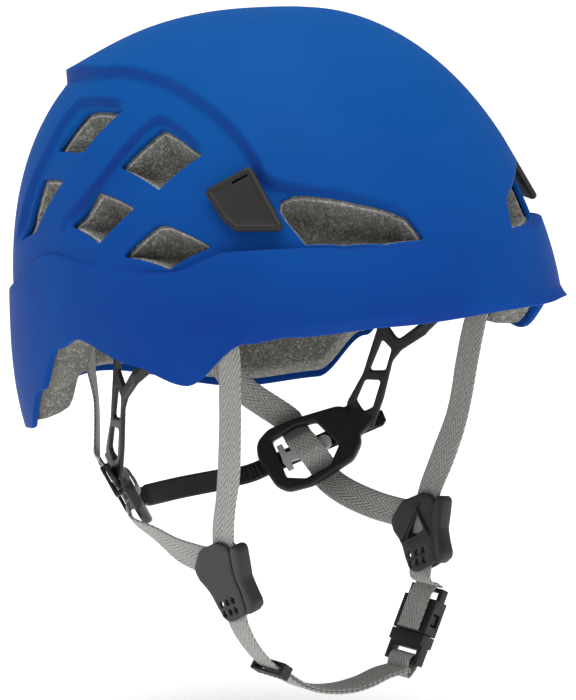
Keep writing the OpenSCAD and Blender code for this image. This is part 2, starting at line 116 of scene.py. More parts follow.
def fade(value, start, width):
    """0 up to start, then smoothly up to 1 over width."""
    return smooth((value - start) / width)


def mix(a, b, t):
    return a + (b - a) * t


def units(rows):
    """Rows of vectors, each made a unit long."""
    return rows / np.linalg.norm(rows, axis=1)[:, None]


def run_along(points):
    """The distance along a line to each of its points."""
    return np.concatenate([[0], np.cumsum(np.linalg.norm(np.diff(points, axis=0), axis=1))])


def at_marks(marks, run, rows):
    """Values of rows, which belong to the distances run, at other distances."""
    return np.stack([np.interp(marks, run, column) for column in rows.T], -1)


def frame_of(origin, x_axis, near_y):
    """Origin and unit axes, from an X axis and a vector near Y."""
    ex = unit(x_axis)
    ey = unit(np.asarray(near_y, float) - np.dot(near_y, ex) * ex)
    return np.array(origin, float), ex, ey, np.cross(ex, ey)


def placed(local, points):
    """Points given in a local frame, in the helmet's frame."""
    points = np.asarray(points, float)
    return local[0] + points[..., :1] * local[1] + points[..., 1:2] * local[2] + points[..., 2:] * local[3]


def mirrored(points):
    return np.asarray(points, float) * [-1, 1, 1]


def spline(points, steps):
    """A Catmull-Rom curve through points, with steps pieces between neighbours."""
    p = np.asarray(points, float)
    p = np.vstack([p[:1], p, p[-1:]])
    t = (np.arange(steps) / steps)[:, None]
    out = []
    for a, b, c, d in zip(p, p[1:], p[2:], p[3:]):
        out.append(0.5 * (2 * b + (c - a) * t + (2 * a - 5 * b + 4 * c - d) * t ** 2
                          + (3 * b - a - 3 * c + d) * t ** 3))
    return np.vstack(out + [p[-1:]])


def new_object(name, vertices, faces, material, sharp):
    """A closed object from millimetre points; edges that turn more than sharp degrees stay crisp."""
    mesh = bpy.data.meshes.new(name)
    mesh.from_pydata([tuple(v) for v in np.asarray(vertices, float) * MM], [], outward(vertices, faces))
    mesh.validate()
    return finished(name, mesh, material, sharp)


def shaded(mesh, sharp):
    """Smooth shading between edges that turn more than sharp degrees."""
    mesh.polygons.foreach_set("use_smooth", [True] * len(mesh.polygons))
    if sharp < 180:
        mesh.set_sharp_from_angle(angle=math.radians(sharp))


def finished(name, mesh, material, sharp):
    """An object from a mesh, shaded and with its material."""
    shaded(mesh, sharp)
    mesh.materials.clear()
    mesh.materials.append(material)
    mesh.update()
    piece = bpy.data.objects.new(name, mesh)
    bpy.context.scene.collection.objects.link(piece)
    return piece


def applied(piece):
    """Gives the piece the mesh that its modifiers make, and removes them."""
    bpy.context.view_layer.update()
    graph = bpy.context.evaluated_depsgraph_get()
    mesh = bpy.data.meshes.new_from_object(piece.evaluated_get(graph))
    piece.modifiers.clear()
    piece.data = mesh
    return piece


def outward(vertices, faces):
    """The same faces, wound so that their normals point out of the closed solid."""
    bm = bmesh.new()
    handles = [bm.verts.new(v) for v in vertices]
    bm.verts.ensure_lookup_table()
    for face in faces:
        bm.faces.new([handles[i] for i in face])
    bmesh.ops.recalc_face_normals(bm, faces=bm.faces)
    bm.verts.index_update()
    wound = [[v.index for v in face.verts] for face in bm.faces]
    bm.free()
    return wound


# ---------------------------------------------------------------- materials


class Look:
    """One node-based material, built by short calls; a value is a number or another node's output."""

    def __init__(self, name, roughness, specular):
        self.material = bpy.data.materials.new(name)
        self.material.use_nodes = True
        self.tree = self.material.node_tree
        self.shader = self.tree.nodes["Principled BSDF"]
        self.set({"Roughness": roughness, "Specular IOR Level": specular})
        self.place = self.node("ShaderNodeTexCoord").outputs["Object"]

    def set(self, values):
        """Sets numbers or colours on the shader's own sockets."""
        for socket, value in values.items():
            self.shader.inputs[socket].default_value = value

    def node(self, kind, values=(), **settings):
        made = self.tree.nodes.new(kind)
        for key, value in settings.items():
            setattr(made, key, value)
        for socket, value in dict(values).items():
            if isinstance(value, bpy.types.NodeSocket):
                self.tree.links.new(value, made.inputs[socket])
            else:
                made.inputs[socket].default_value = value
        return made

    def noise(self, scale, detail):
        values = {"Vector": self.place, "Scale": scale, "Detail": detail, "Roughness": 0.55}
        return self.node("ShaderNodeTexNoise", values).outputs["Fac"]

    def cells(self, scale, feature, output):
        values = {"Vector": self.place, "Scale": scale, "Randomness": 1.0}
        return self.node("ShaderNodeTexVoronoi", values, feature=feature).outputs[output]

    def parts(self, vector):
        return self.node("ShaderNodeSeparateXYZ", {"Vector": vector}).outputs

    def edges(self, low, high):
        """1 on sharp outer edges, 0 elsewhere."""
        return self.ramp(self.node("ShaderNodeNewGeometry").outputs["Pointiness"], low, high)

    def math(self, operation, a, b=0.0):
        return self.node("ShaderNodeMath", {0: a, 1: b}, operation=operation).outputs[0]

    def zigzag(self, value):
        """How far a value is from the middle of its period: 0.5, 0, 0.5 as it runs from 0 to 1."""
        return self.math("ABSOLUTE", self.math("SUBTRACT", self.math("FRACT", value), 0.5))

    def ramp(self, value, low, high, to_low=0.0, to_high=1.0):
        values = {"Value": value, "From Min": low, "From Max": high, "To Min": to_low, "To Max": to_high}
        return self.node("ShaderNodeMapRange", values).outputs[0]

    def blend(self, factor, a, b):
        """Colours a and b, mixed by factor."""
        made = self.node("ShaderNodeMix", {0: factor}, data_type="RGBA")
        for index, colour in ((6, a), (7, b)):
            if isinstance(colour, bpy.types.NodeSocket):
                self.tree.links.new(colour, made.inputs[index])
            else:
                made.inputs[index].default_value = (*colour, 1.0)
        return made.outputs[2]

    def colour(self, socket):
        self.tree.links.new(socket, self.shader.inputs["Base Color"])

    def roughness(self, socket):
        self.tree.links.new(socket, self.shader.inputs["Roughness"])

    def bump(self, height, distance_mm, strength=1.0, after=None):
        values = {"Height": height, "Distance": distance_mm * MM, "Strength": strength}
        if after is not None:
            values["Normal"] = after
        made = self.node("ShaderNodeBump", values).outputs["Normal"]
        self.tree.links.new(made, self.shader.inputs["Normal"])
        return made


def scaled(colour, factor):
    return tuple(min(1.0, c * factor) for c in colour)


def moulded(name, colour, roughness, grain_per_m=2600.0, grain_mm=0.02, wear=1.6):
    """Moulded plastic: fine spark-eroded grain, faint cloudiness and slightly paler edges."""
    look = Look(name, roughness, 0.3)
    clouds = look.noise(60.0, 4.0)
    body = look.blend(look.ramp(clouds, 0.3, 0.7), scaled(colour, 0.94), scaled(colour, 1.06))
    scuffs = look.math("MULTIPLY", look.edges(0.53, 0.62), look.ramp(look.noise(420.0, 5.0), 0.35, 0.7))
    look.colour(look.blend(scuffs, body, scaled(colour, wear)))
    look.roughness(look.ramp(look.noise(900.0, 4.0), 0.3, 0.7, roughness - 0.04, roughness + 0.05))
    look.bump(look.noise(grain_per_m, 2.0), grain_mm, 0.6)
    return look.material


def bead_foam(name, dark, light, beads_per_m, bead_mm):
    """Expanded bead foam: bulging beads of uneven tone with dark gaps between them."""
    look = Look(name, 0.85, 0.25)
    tint = look.cells(beads_per_m, "F1", "Color")
    tone = look.node("ShaderNodeSeparateColor", {"Color": tint}).outputs[0]
    beads = look.blend(look.ramp(tone, 0.0, 1.0), dark, light)
    specks = look.ramp(look.noise(beads_per_m * 7, 3.0), 0.42, 0.66)
    speckled = look.blend(specks, scaled(dark, 0.8), beads)
    gap = look.cells(beads_per_m, "DISTANCE_TO_EDGE", "Distance")
    look.colour(look.blend(look.ramp(gap, 0.0, 0.07), scaled(dark, 0.4), speckled))
    first = look.bump(look.ramp(gap, 0.0, 0.35), bead_mm, 0.9)
    look.bump(look.noise(beads_per_m * 9, 3.0), bead_mm * 0.25, 0.5, first)
    return look.material


# The herringbone: columns and warp threads across a strap, twill lines to a repeat along it (WEAVE_REPEAT
# millimetres), and how many lines the twill leans over in one column
COLUMNS, WARP_THREADS, TWILL_LINES, TWILL_LEAN = 2.0, 34.0, 4.5, 4.4
WEAVE_REPEAT = 15


def herringbone(name, dark, light):
    """Woven strap: twill lines that turn at each column, over the weave map's across and along."""
    look = Look(name, 0.78, 0.3)
    look.set({"Sheen Weight": 0.25, "Sheen Roughness": 0.5})
    across, along = look.parts(look.node("ShaderNodeUVMap", uv_map="weave").outputs["UV"])[:2]
    lean = look.math("MULTIPLY", look.zigzag(look.math("MULTIPLY", across, COLUMNS)), TWILL_LEAN)
    twill = look.zigzag(look.math("ADD", look.math("MULTIPLY", along, TWILL_LINES), lean))
    warp = look.zigzag(look.math("MULTIPLY", across, WARP_THREADS))
    thread = look.math("MULTIPLY", look.ramp(twill, 0.06, 0.34), look.ramp(warp, 0.0, 0.22, 0.75, 1.0))
    uneven = look.ramp(look.noise(500.0, 3.0), 0.3, 0.7, 0.78, 1.1)
    shade = look.math("MULTIPLY", thread, uneven)
    fleck = look.ramp(look.noise(1700.0, 2.0), 0.64, 0.74)
    look.colour(look.blend(fleck, look.blend(shade, dark, light), scaled(light, 1.35)))
    look.bump(thread, 0.3, 0.9)
    return look.material


def knit(name, colour):
    """Brushed knit over a foam pad."""
    look = Look(name, 0.95, 0.2)
    look.set({"Sheen Weight": 0.5, "Sheen Roughness": 0.6})
    values = {"Vector": look.place, "Scale": 260.0, "Distortion": 2.5, "Detail": 2.0}
    rows = look.node("ShaderNodeTexWave", values, bands_direction="DIAGONAL").outputs["Fac"]
    fuzz = look.noise(1500.0, 4.0)
    look.colour(look.blend(look.math("MULTIPLY", rows, fuzz), scaled(colour, 0.6), scaled(colour, 1.9)))
    first = look.bump(rows, 0.18, 0.6)
    look.bump(fuzz, 0.2, 0.6, first)
    return look.material


def shell_paint_with_painted_shade(name, crown, skirt_shade, wall, rubbed):
    """Matte blue plastic with painted shade, darker lower down and on steep walls as if lit from above, and
    faintly rubbed along its edges.
    """
    look = Look(name, 0.55, 0.03)
    # Painted shade: the colour runs by height from the lit crown colour at the top to a darker, more violet
    # one lower down
    tone = look.blend(look.ramp(look.parts(look.place)[2], 0.02, 0.12), skirt_shade, crown)
    # Painted shade: steep relief walls take the darker wall colour, standing in for shade from light above
    steep = look.node("ShaderNodeAttribute", attribute_name="steep").outputs["Fac"]
    tone = look.blend(look.ramp(steep, 0.3, 1.0, 0.0, 0.75), tone, wall)
    cloud = look.ramp(look.noise(14.0, 3.0), 0.3, 0.7)
    body = look.blend(cloud, tone, look.blend(0.5, tone, scaled(crown, 1.06)))
    patches = look.ramp(look.noise(300.0, 5.0), 0.4, 0.7, 0.1, 0.8)
    look.colour(look.blend(look.math("MULTIPLY", look.edges(0.54, 0.66), patches), body, rubbed))
    look.roughness(look.ramp(look.noise(700.0, 3.0), 0.3, 0.7, 0.51, 0.59))
    first = look.bump(look.noise(160.0, 2.0), 0.02, 0.5)
    look.bump(look.noise(3000.0, 2.0), 0.015, 0.6, first)
    return look.material


# Colours: the lit crown, the painted shade lower down, the painted shade on steep walls, and rubbed edges
SHELL_BLUE = shell_paint_with_painted_shade("shell_blue", (0.004, 0.084, 0.325), (0.006, 0.047, 0.275), (0.010, 0.030, 0.225),
                        (0.02, 0.13, 0.5))
SIDE_FOAM = bead_foam("bead_foam", (0.19, 0.185, 0.165), (0.50, 0.49, 0.445), 440.0, 0.4)
CROWN_FOAM = bead_foam("crown_foam", (0.42, 0.41, 0.38), (0.62, 0.61, 0.58), 520.0, 0.2)
# A paler foam for the rims of the vent pockets: a painted highlight
FOAM_RIM_HIGHLIGHT = bead_foam("foam_rim_highlight", (0.40, 0.39, 0.36), (0.80, 0.79, 0.75), 440.0, 0.1)
PAD_KNIT = knit("pad_knit", (0.022, 0.022, 0.024))
CLIP_BLACK = moulded("clip_black", (0.017, 0.0165, 0.0155), 0.52, 3200.0, 0.04, 3.0)
SOFT_BLACK = moulded("soft_black", (0.020, 0.020, 0.021), 0.40)
DIVIDER_GREY = moulded("divider_grey", (0.034, 0.034, 0.036), 0.50, 3000.0, 0.03)
PAWL_GREY = moulded("pawl_grey", (0.46, 0.47, 0.48), 0.42, 2600.0, 0.015, 1.2)
WEBBING = herringbone("webbing", (0.24, 0.24, 0.225), (0.50, 0.50, 0.475))

# ---------------------------------------------------------------- the shell's surface

# The base surface: its reach to each side, forwards, backwards and up, the exponents of its plan and of its
# side, front and rear curves, and its lower half's depths in front and behind
HALF_WIDTH, FRONT, REAR, CROWN = 111.0, 123.0, 161.0, 143.0
PLAN_CURVE, SIDE_CURVE, FRONT_CURVE, REAR_CURVE = 2.13, 2.09, 1.6, 2.64
FRONT_DROP, REAR_DROP = 260.0, 122.0
SHELL_WALL = 2.6
LINER_OUT, LINER_IN = 3.4, 21.4
FOAM_SPLIT = 55.0

# The lists below hold azimuth and latitude on the wearer's left, and are mirrored to the right
RIM = [(0, 8.1), (25, 7.4), (45, 6), (54, 4.6), (69, -5.4), (84, -2.4), (104, 1.3),
       (113, -2), (122, -12), (134, -21), (148, -21.5), (180, -15)]

VENTS = [[(125.2, 47.2), (108.6, 50.4), (116.1, 39.5), (132.3, 36), (128.2, 45.6)],
         [(135, 29.8), (119.7, 32.8), (128, 20.3), (137.6, 16.2)],
         [(90.8, 49.9), (70.3, 43.9), (81.4, 36), (101.5, 40)],
         [(106.6, 34), (88.1, 31.6), (99, 23), (112.5, 25)],
         [(79.7, 28.7), (77.2, 29), (64, 24.9), (74.8, 19.7), (89.4, 21.3)],
         [(37.4, 35.1), (29, 33.5), (20.3, 31.1), (17.2, 29.5), (14.2, 24.4), (23.5, 24.3), (33, 24.7),
          (41.7, 25.2), (46.1, 30.2), (47.8, 32.5), (47.8, 34.6), (44.7, 35.8)]]

# Lower edge of the crown panel and the ledge below the side recess, from front to rear
CROWN_EDGE = [(11.6, 21), (14.1, 25.9), (17.2, 31), (21.1, 32.7), (30.9, 35.3), (41.5, 37), (48.1, 38.3),
              (51, 39.7), (53.6, 43), (58.9, 47.5), (65.5, 51.3), (73.2, 54.2), (82.3, 56.5), (93.5, 58.3),
              (104.3, 58.4), (114.2, 57.5), (123, 55.6), (130, 53), (140, 49.7), (152, 45), (166, 43),
              (180, 42.5)]
LEDGE = [(11.6, 21), (15, 23.0), (29, 23.2), (42, 23.9), (59, 23.3), (63, 22.2), (73, 18.7), (85, 18.0),
         (95, 18.0), (105, 17.8), (118, 17.5), (128.2, 13.1), (136, 8.6), (155, 3), (180, 1)]
# Fold in the recess from the clip's rear corner down to the ledge; the floor leans in below it
FOLD = [(11, 30), (30, 34.5), (45, 37), (56, 41), (67, 35.5), (77.2, 30), (87.6, 23), (96, 18.4)]
# Fold at the foot of the hollow in the front of the crown
BROW_FOLD = [(0, 45), (8.3, 46), (18, 47.7), (24, 49), (30.5, 54.5), (39, 60), (52, 70)]
# Channels of the rear vents: the wall behind and above, then the open edge where they run out
CHANNELS = [([(144.2, 14.2), (140.8, 17.7), (137.9, 26.6), (135.3, 33.6), (134.7, 38.8), (134.2, 41.9),
              (133.1, 44.6), (130.9, 46.7), (119.6, 50.2), (109.7, 52)],
             [(108.3, 50.2), (115.6, 39.5), (119.4, 32.7), (123.5, 26), (128, 19.8), (136.5, 15.6),
              (143.4, 14.1)]),
            ([(116, 24.1), (115.3, 26.4), (109.9, 31.5), (105.4, 36.8), (101.9, 42.2), (98.2, 46.9),
              (95.7, 49.2), (92.2, 51.3), (85.9, 50.7), (77.1, 48.2), (70.6, 45.3)],
             [(70.2, 43.6), (81.1, 35.9), (88.1, 31.3), (98.8, 22.6), (112.9, 23.6)])]
CHANNEL_DEPTH, CHANNEL_WALL, CHANNEL_RUN = 3.3, 2.3, 12.0
# How far the surface stands out (millimetres) against azimuth, in four bands
CROWN_RISE = [(0, 0), (30, -0.6), (47, -1.4), (70, 0.6), (100, 2.2), (125, 4.6), (140, 6.4), (180, 5.5)]
RECESS_TOP = [(11, -0.8), (20, -3.0), (32, -4.4), (47, -5.2), (60, -4.8), (75, -3.2), (95, -1.8),
              (131, 1.2), (180, 1.2)]
RECESS_LOW = [(11, -0.8), (18, -2.2), (30, -4.6), (47, -6.3), (62, -6.3), (73, -4.6), (84, -2.4),
              (95, -1.7), (110, -2.4), (131, -2.7), (180, -2.4)]
BELOW_LEDGE = [(0, -0.5), (12, -0.7), (47, -1.6), (62, -1.3), (85, -1.0), (100, -0.7), (131, -0.4),
               (180, -0.4)]
# Widths of the steps at the crown's edge and the ledge, and how fast the crown's rise dies away below it
CROWN_FACE, LEDGE_FACE, CROWN_FADE = 4.4, 1.3, 18.0
# The front band without a recess, then where the recess takes over, as start and width in degrees
FRONT_BAND, FRONT_TO_SIDE, LEAN_END = (8, 26), (11, 6), 96
# The hollow in the crown's front: depth, width of its step, and where it fades upwards and sideways
BROW_DEPTH, BROW_FACE, BROW_UP, BROW_ASIDE = 1.5, 3.4, (48, 22), (24, 22)
# The brim's outward flare: its size, height, curve, and where it fades towards the side
BRIM_FLARE, BRIM_HEIGHT, BRIM_CURVE, BRIM_ASIDE = 2.6, 4.4, 1.2, (52.0, 18.0)


def base_radius(az, la):
    """Distance from the centre to the smooth base surface."""
    s, c = np.sin(np.radians(az)), np.cos(np.radians(az))
    plan = ((np.abs(s) / HALF_WIDTH) ** PLAN_CURVE
            + (np.abs(c) / np.where(c > 0, FRONT, REAR)) ** PLAN_CURVE) ** (-1 / PLAN_CURVE)
    q = SIDE_CURVE + (np.where(c > 0, FRONT_CURVE, REAR_CURVE) - SIDE_CURVE) * c * c
    high = np.where(la >= 0, CROWN, FRONT_DROP + (REAR_DROP - FRONT_DROP) * (1 - c) / 2)
    flat_part, tall_part = np.cos(np.radians(la)), np.abs(np.sin(np.radians(la)))
    return ((flat_part / plan) ** q + (tall_part / high) ** q) ** (-1 / q)


def at(az, la, radius):
    """Points in a direction from the centre, at a distance from it."""
    a, l = np.radians(az), np.radians(la)
    return np.stack([radius * np.cos(l) * np.sin(a), -radius * np.cos(l) * np.cos(a),
                     radius * np.sin(l)], -1)


def eased_marks(marks):
    """A smooth function of azimuth through marks."""
    grid = np.arange(0, 181.0)
    x, y = np.array(marks, float).T
    rows = np.interp(grid, x, y)
    window = np.hanning(15)
    padded_rows = np.concatenate([rows[7:0:-1], rows, rows[-2:-9:-1]])
    table = np.convolve(padded_rows, window / window.sum(), "valid")
    return lambda az: np.interp(np.abs(az), grid, table)


def rim_latitude(az):
    """The latitude of the shell's edge, smooth between the marks of RIM."""
    x, y = np.array(RIM, float).T
    side = np.abs(az)
    i = np.clip(np.searchsorted(x, side) - 1, 0, len(x) - 2)
    return mix(y[i], y[i + 1], smooth((side - x[i]) / (x[i + 1] - x[i])))


def gap_to(points, line):
    """Distance of each point from a polyline."""
    best = np.full(len(points), 1e9)
    for a, b in zip(line, line[1:]):
        d = b - a
        t = np.clip((points - a) @ d / max(d @ d, 1e-12), 0, 1)
        best = np.minimum(best, np.linalg.norm(points - a - t[:, None] * d, axis=1))
    return best


def inside(points, loop):
    """Whether each flat point lies within a closed loop."""
    x, y = points.T
    hit = np.zeros(len(points), bool)
    for (x0, y0), (x1, y1) in zip(loop, np.roll(loop, -1, 0)):
        if y0 != y1:
            crosses = (y0 > y) != (y1 > y)
            hit ^= crosses & (x < (x1 - x0) * (y - y0) / (y1 - y0) + x0)
    return hit


def on_base(marks, steps=8):
    """A smooth line through marks of azimuth and latitude, flat and on the base surface."""
    line = spline(np.array(marks, float), steps)
    az, la = line.T
    return line, at(az, la, base_radius(az, la))


class Relief:
    """How far the moulded surface stands out from the base surface."""

    def __init__(self):
        self.crown_line, self.crown_points = on_base(CROWN_EDGE)
        self.ledge_line, self.ledge_points = on_base(LEDGE)
        self.recess = np.vstack([self.crown_line, self.ledge_line[::-1]])
        self.brow_line, self.brow_points = on_base(BROW_FOLD)
        self.bands = [eased_marks(m) for m in (CROWN_RISE, RECESS_TOP, RECESS_LOW, BELOW_LEDGE)]
        self.channels = []
        for wall, run in CHANNELS:
            wall_line, wall_points = on_base(wall, 6)
            run_line, run_points = on_base(run, 6)
            self.channels.append((np.vstack([wall_line, run_line]), wall_points, run_points))

    def __call__(self, az, la):
        side = np.abs(az)
        mark = np.stack([side, la], -1)
        points = at(side, la, base_radius(side, la))
        crown_rise, recess_top, recess_low, below = (band(side) for band in self.bands)
        to_crown, to_ledge = gap_to(points, self.crown_points), gap_to(points, self.ledge_points)
        within = inside(mark, self.recess)
        share = to_crown / (to_crown + to_ledge + 1e-9)
        edge_latitude = np.interp(side, *self.crown_line.T)
        low_front = 1 - fade(la, *FRONT_BAND)
        low_side = (la < edge_latitude).astype(float)
        outside_share = mix(low_front, low_side, fade(side, *FRONT_TO_SIDE))
        share = np.where(within, share, outside_share)
        swell = crown_rise * np.exp(-np.where(within, 0, to_crown) / CROWN_FADE)
        plain = mix(swell, below, share)
        fold, foot = np.interp(side, *np.array(FOLD).T), np.interp(side, *self.ledge_line.T)
        lean = np.clip((fold - la) / np.maximum(fold - foot, 1), 0, 1)
        floor = mix(recess_top, recess_low, np.where(side < LEAN_END, lean, share))
        sunk = np.where(within, slope(to_crown / CROWN_FACE) * slope(to_ledge / LEDGE_FACE), 0)
        height = mix(plain, floor, sunk)
        for loop, wall_points, run_points in self.channels:
            deep = slope(gap_to(points, wall_points) / CHANNEL_WALL)
            run = smooth(gap_to(points, run_points) / CHANNEL_RUN)
            height = height - np.where(inside(mark, loop), CHANNEL_DEPTH * deep * run, 0)
        brow = np.interp(side, *self.brow_line.T)
        hollow = np.where(la > brow, slope(gap_to(points, self.brow_points) / BROW_FACE), 0)
        height = height - BROW_DEPTH * hollow * (1 - fade(la, *BROW_UP)) * (1 - fade(side, *BROW_ASIDE))
        above_rim = np.radians(la - rim_latitude(side)) * base_radius(side, la)
        lip = np.clip(1 - above_rim / BRIM_HEIGHT, 0, 1) ** BRIM_CURVE
        return height + BRIM_FLARE * lip * (1 - fade(side, *BRIM_ASIDE))


relief = Relief()


def surface(az, la, depth):
    """Points depth millimetres below the moulded surface."""
    return at(az, la, base_radius(az, la) + relief(az, la) - depth)


def flat(az, la):
    """The flat plane that the surface is meshed in: the crown at its centre, the front down."""
    r, a = 90 - np.asarray(la, float), np.radians(az)
    return np.stack([r * np.sin(a), -r * np.cos(a)], -1)


def unflat(xy):
    x, y = np.asarray(xy, float).T
    return np.degrees(np.arctan2(x, -y)), 90 - np.hypot(x, y)


def resampled(points, spacing, closed=False):
    """Points a spacing apart along a line through points."""
    points = np.asarray(points, float)
    if closed:
        points = np.vstack([points, points[:1]])
    run = run_along(points)
    marks = np.linspace(0, run[-1], max(3, int(round(run[-1] / spacing))) + 1)
    return at_marks(marks[:-1] if closed else marks, run, points)


def rounded(corners, radius, arc=5):
    """A closed outline with its corners rounded."""
    corners = np.asarray(corners, float)
    out = []
    for before, here, after in zip(np.roll(corners, 1, 0), corners, np.roll(corners, -1, 0)):
        a, b = unit(before - here), unit(after - here)
        reach = min(radius / max(math.tan(math.acos(np.clip(a @ b, -1, 1)) / 2), 0.2),
                    0.45 * np.linalg.norm(before - here), 0.45 * np.linalg.norm(after - here))
        p, q = here + a * reach, here + b * reach
        for t in np.linspace(0, 1, arc):
            out.append((1 - t) ** 2 * p + 2 * t * (1 - t) * here + t ** 2 * q)
    return np.array(out)


def square_to(ahead):
    """Unit vectors of the flat plane, square to the directions ahead."""
    return units(np.stack([ahead[:, 1], -ahead[:, 0]], -1))


def offset(loop, distance):
    """A closed flat outline moved outwards (or inwards where distance is negative)."""
    normal = square_to(np.roll(loop, -1, 0) - np.roll(loop, 1, 0))
    area = np.sum(loop[:, 0] * np.roll(loop[:, 1], -1) - loop[:, 1] * np.roll(loop[:, 0], -1))
    return loop + normal * distance * np.sign(area)


VENT_ROUNDING, VENT_SPACING = 0.55, 0.5


def all_vents(grow):
    """The vents' outlines in the flat plane, left and right; grow is in flat units of about 2 mm."""
    outlines = []
    for vent in VENTS:
        for side in (1, -1):
            az, la = np.array(vent, float).T
            corners = rounded(flat(side * az, la), VENT_ROUNDING)
            outlines.append(offset(resampled(corners, VENT_SPACING, closed=True), grow))
    return outlines


def rim_loop(lift):
    """The shell's edge in the flat plane, lifted by some degrees."""
    az = np.linspace(-180, 180, 720, endpoint=False)
    return resampled(flat(az, rim_latitude(az) + lift), 1.0, closed=True)


def triangles(loops, near, spacing):
    """Triangles of the flat plane within the first loop and outside the others, with edges along the loops.

    near holds further points to use. Returns the points, the triangles and each loop's indices."""
    fixed = np.vstack(list(loops) + list(near))
    reach = np.abs(fixed).max() + 2
    rows = np.arange(-reach, reach, spacing * 0.866)
    columns = np.arange(-reach, reach, spacing)
    grid = np.array([(x + (i % 2) * spacing / 2, y) for i, y in enumerate(rows) for x in columns])
    grid = grid[inside(grid, loops[0])]
    clear = np.ones(len(grid), bool)
    block = 400
    for start in range(0, len(fixed), block):
        part = fixed[start:start + block]
        gaps = np.hypot(grid[:, None, 0] - part[None, :, 0], grid[:, None, 1] - part[None, :, 1])
        clear &= gaps.min(axis=1) > 0.55 * spacing
    points = np.vstack([fixed, grid[clear]])
    edges, starts, first = [], [], 0
    for loop in loops:
        n = len(loop)
        edges += [(first + i, first + (i + 1) % n) for i in range(n)]
        starts.append((first, n))
        first += n
    made = delaunay_2d_cdt([Vector(p) for p in points], edges, [], 0, 1e-6)
    xy = np.array([tuple(v) for v in made[0]])
    faces = np.array([f for f in made[2] if len(f) == 3])
    centres = xy[faces].mean(axis=1)
    kept = inside(centres, loops[0])
    for loop in loops[1:]:
        kept &= ~inside(centres, loop)
    new_index = {original: index for index, originals in enumerate(made[3]) for original in originals}
    return xy, faces[kept], [[new_index[s + i] for i in range(n)] for s, n in starts]


def thinned(points, gap):
    """The points left when each is more than gap from the last 60 kept before it."""
    kept = []
    for p in points:
        if all(math.dist(p, q) > gap for q in kept[-60:]):
            kept.append(p)
    return np.array(kept)


MM_PER_UNIT = 2.1


def feature_points():
    """Rows of points along the steps and folds, so that the mesh follows them."""
    rows = []
    # A line, the side its step is on (1 away from the crown's centre), and the rows' distances in millimetres
    for line, way, gaps in ((relief.crown_line, 1, (-1, 0, 1.1, 2.2, 3.3, 4.4, 5.4)),
                            (relief.ledge_line, -1, (-0.7, 0, 0.65, 1.3, 2.1)),
                            (relief.brow_line, -1, (-0.8, 0, 1.1, 2.2, 3.4))):
        for side in (1, -1):
            xy = resampled(flat(side * line[:, 0], line[:, 1]), 1.0)
            away = square_to(np.gradient(xy, axis=0))
            centre_side = np.sign(np.sum(away * xy, axis=1))[:, None]
            rows += [xy + away * centre_side * way * gap / MM_PER_UNIT for gap in gaps]
    for loop, _, _ in relief.channels:
        for side in (1, -1):
            xy = resampled(flat(side * loop[:, 0], loop[:, 1]), 1.0, closed=True)
            rows += [offset(xy, gap) for gap in (-1.6, -1.1, -0.55, 0, 0.5)]
    return rows


# ---------------------------------------------------------------- shell

RIM_LIFT, RIM_WALL = 0.35, 3.0
# Rings that round a vent's lip: outwards from the outline (flat units) and depth (mm)
LIP = [(0.26, 0.0), (0.09, 0.18), (0.0, 0.6), (0.0, 1.9)]
# Rings round the rim: degrees above it, and depth where the wall is SHELL_WALL thick
RIM_RINGS = [(0.12, 0.1), (0.0, 0.75), (-0.02, 1.5), (0.02, 2.2)]
# How far rows of points keep from each other, from the rim and from a vent (flat units)
ROW_GAP, JOINED_GAP, RIM_CLEAR, VENT_CLEAR = 0.45, 0.42, 0.8, 0.3


def band_faces(upper, lower):
    """Quads between two rings of equal length."""
    n = len(upper)
    return [(upper[i], upper[(i + 1) % n], lower[(i + 1) % n], lower[i]) for i in range(n)]


def tube_faces(rings, size, start=0):
    """Bands between rings of size points each, numbered from start."""
    faces = []
    for i in range(start, start + (rings - 1) * size, size):
        faces += band_faces(range(i, i + size), range(i + size, i + 2 * size))
    return faces


def fan_faces(ring, centre):
    return [(ring[i], ring[(i + 1) % len(ring)], centre) for i in range(len(ring))]


class Skin:
    """The growing points and faces of a mesh."""

    def __init__(self):
        self.rows, self.faces, self.total = [], [], 0

    def add(self, points):
        """Adds points and returns their indices."""
        self.rows.append(points)
        self.total += len(points)
        return list(range(self.total - len(points), self.total))

    def patch(self, points, faces, flipped=False):
        """Adds points with the faces between them."""
        indices = self.add(points)
        self.faces += [tuple(indices[i] for i in (face[::-1] if flipped else face)) for face in faces]
        return indices

    def bands(self, ring, levels):
        """Bands from a ring through further rings of as many points; returns the last ring."""
        for points in levels:
            after = self.add(points)
            self.faces += band_faces(ring, after)
            ring = after
        return ring

    def mesh(self):
        return np.vstack(self.rows), self.faces


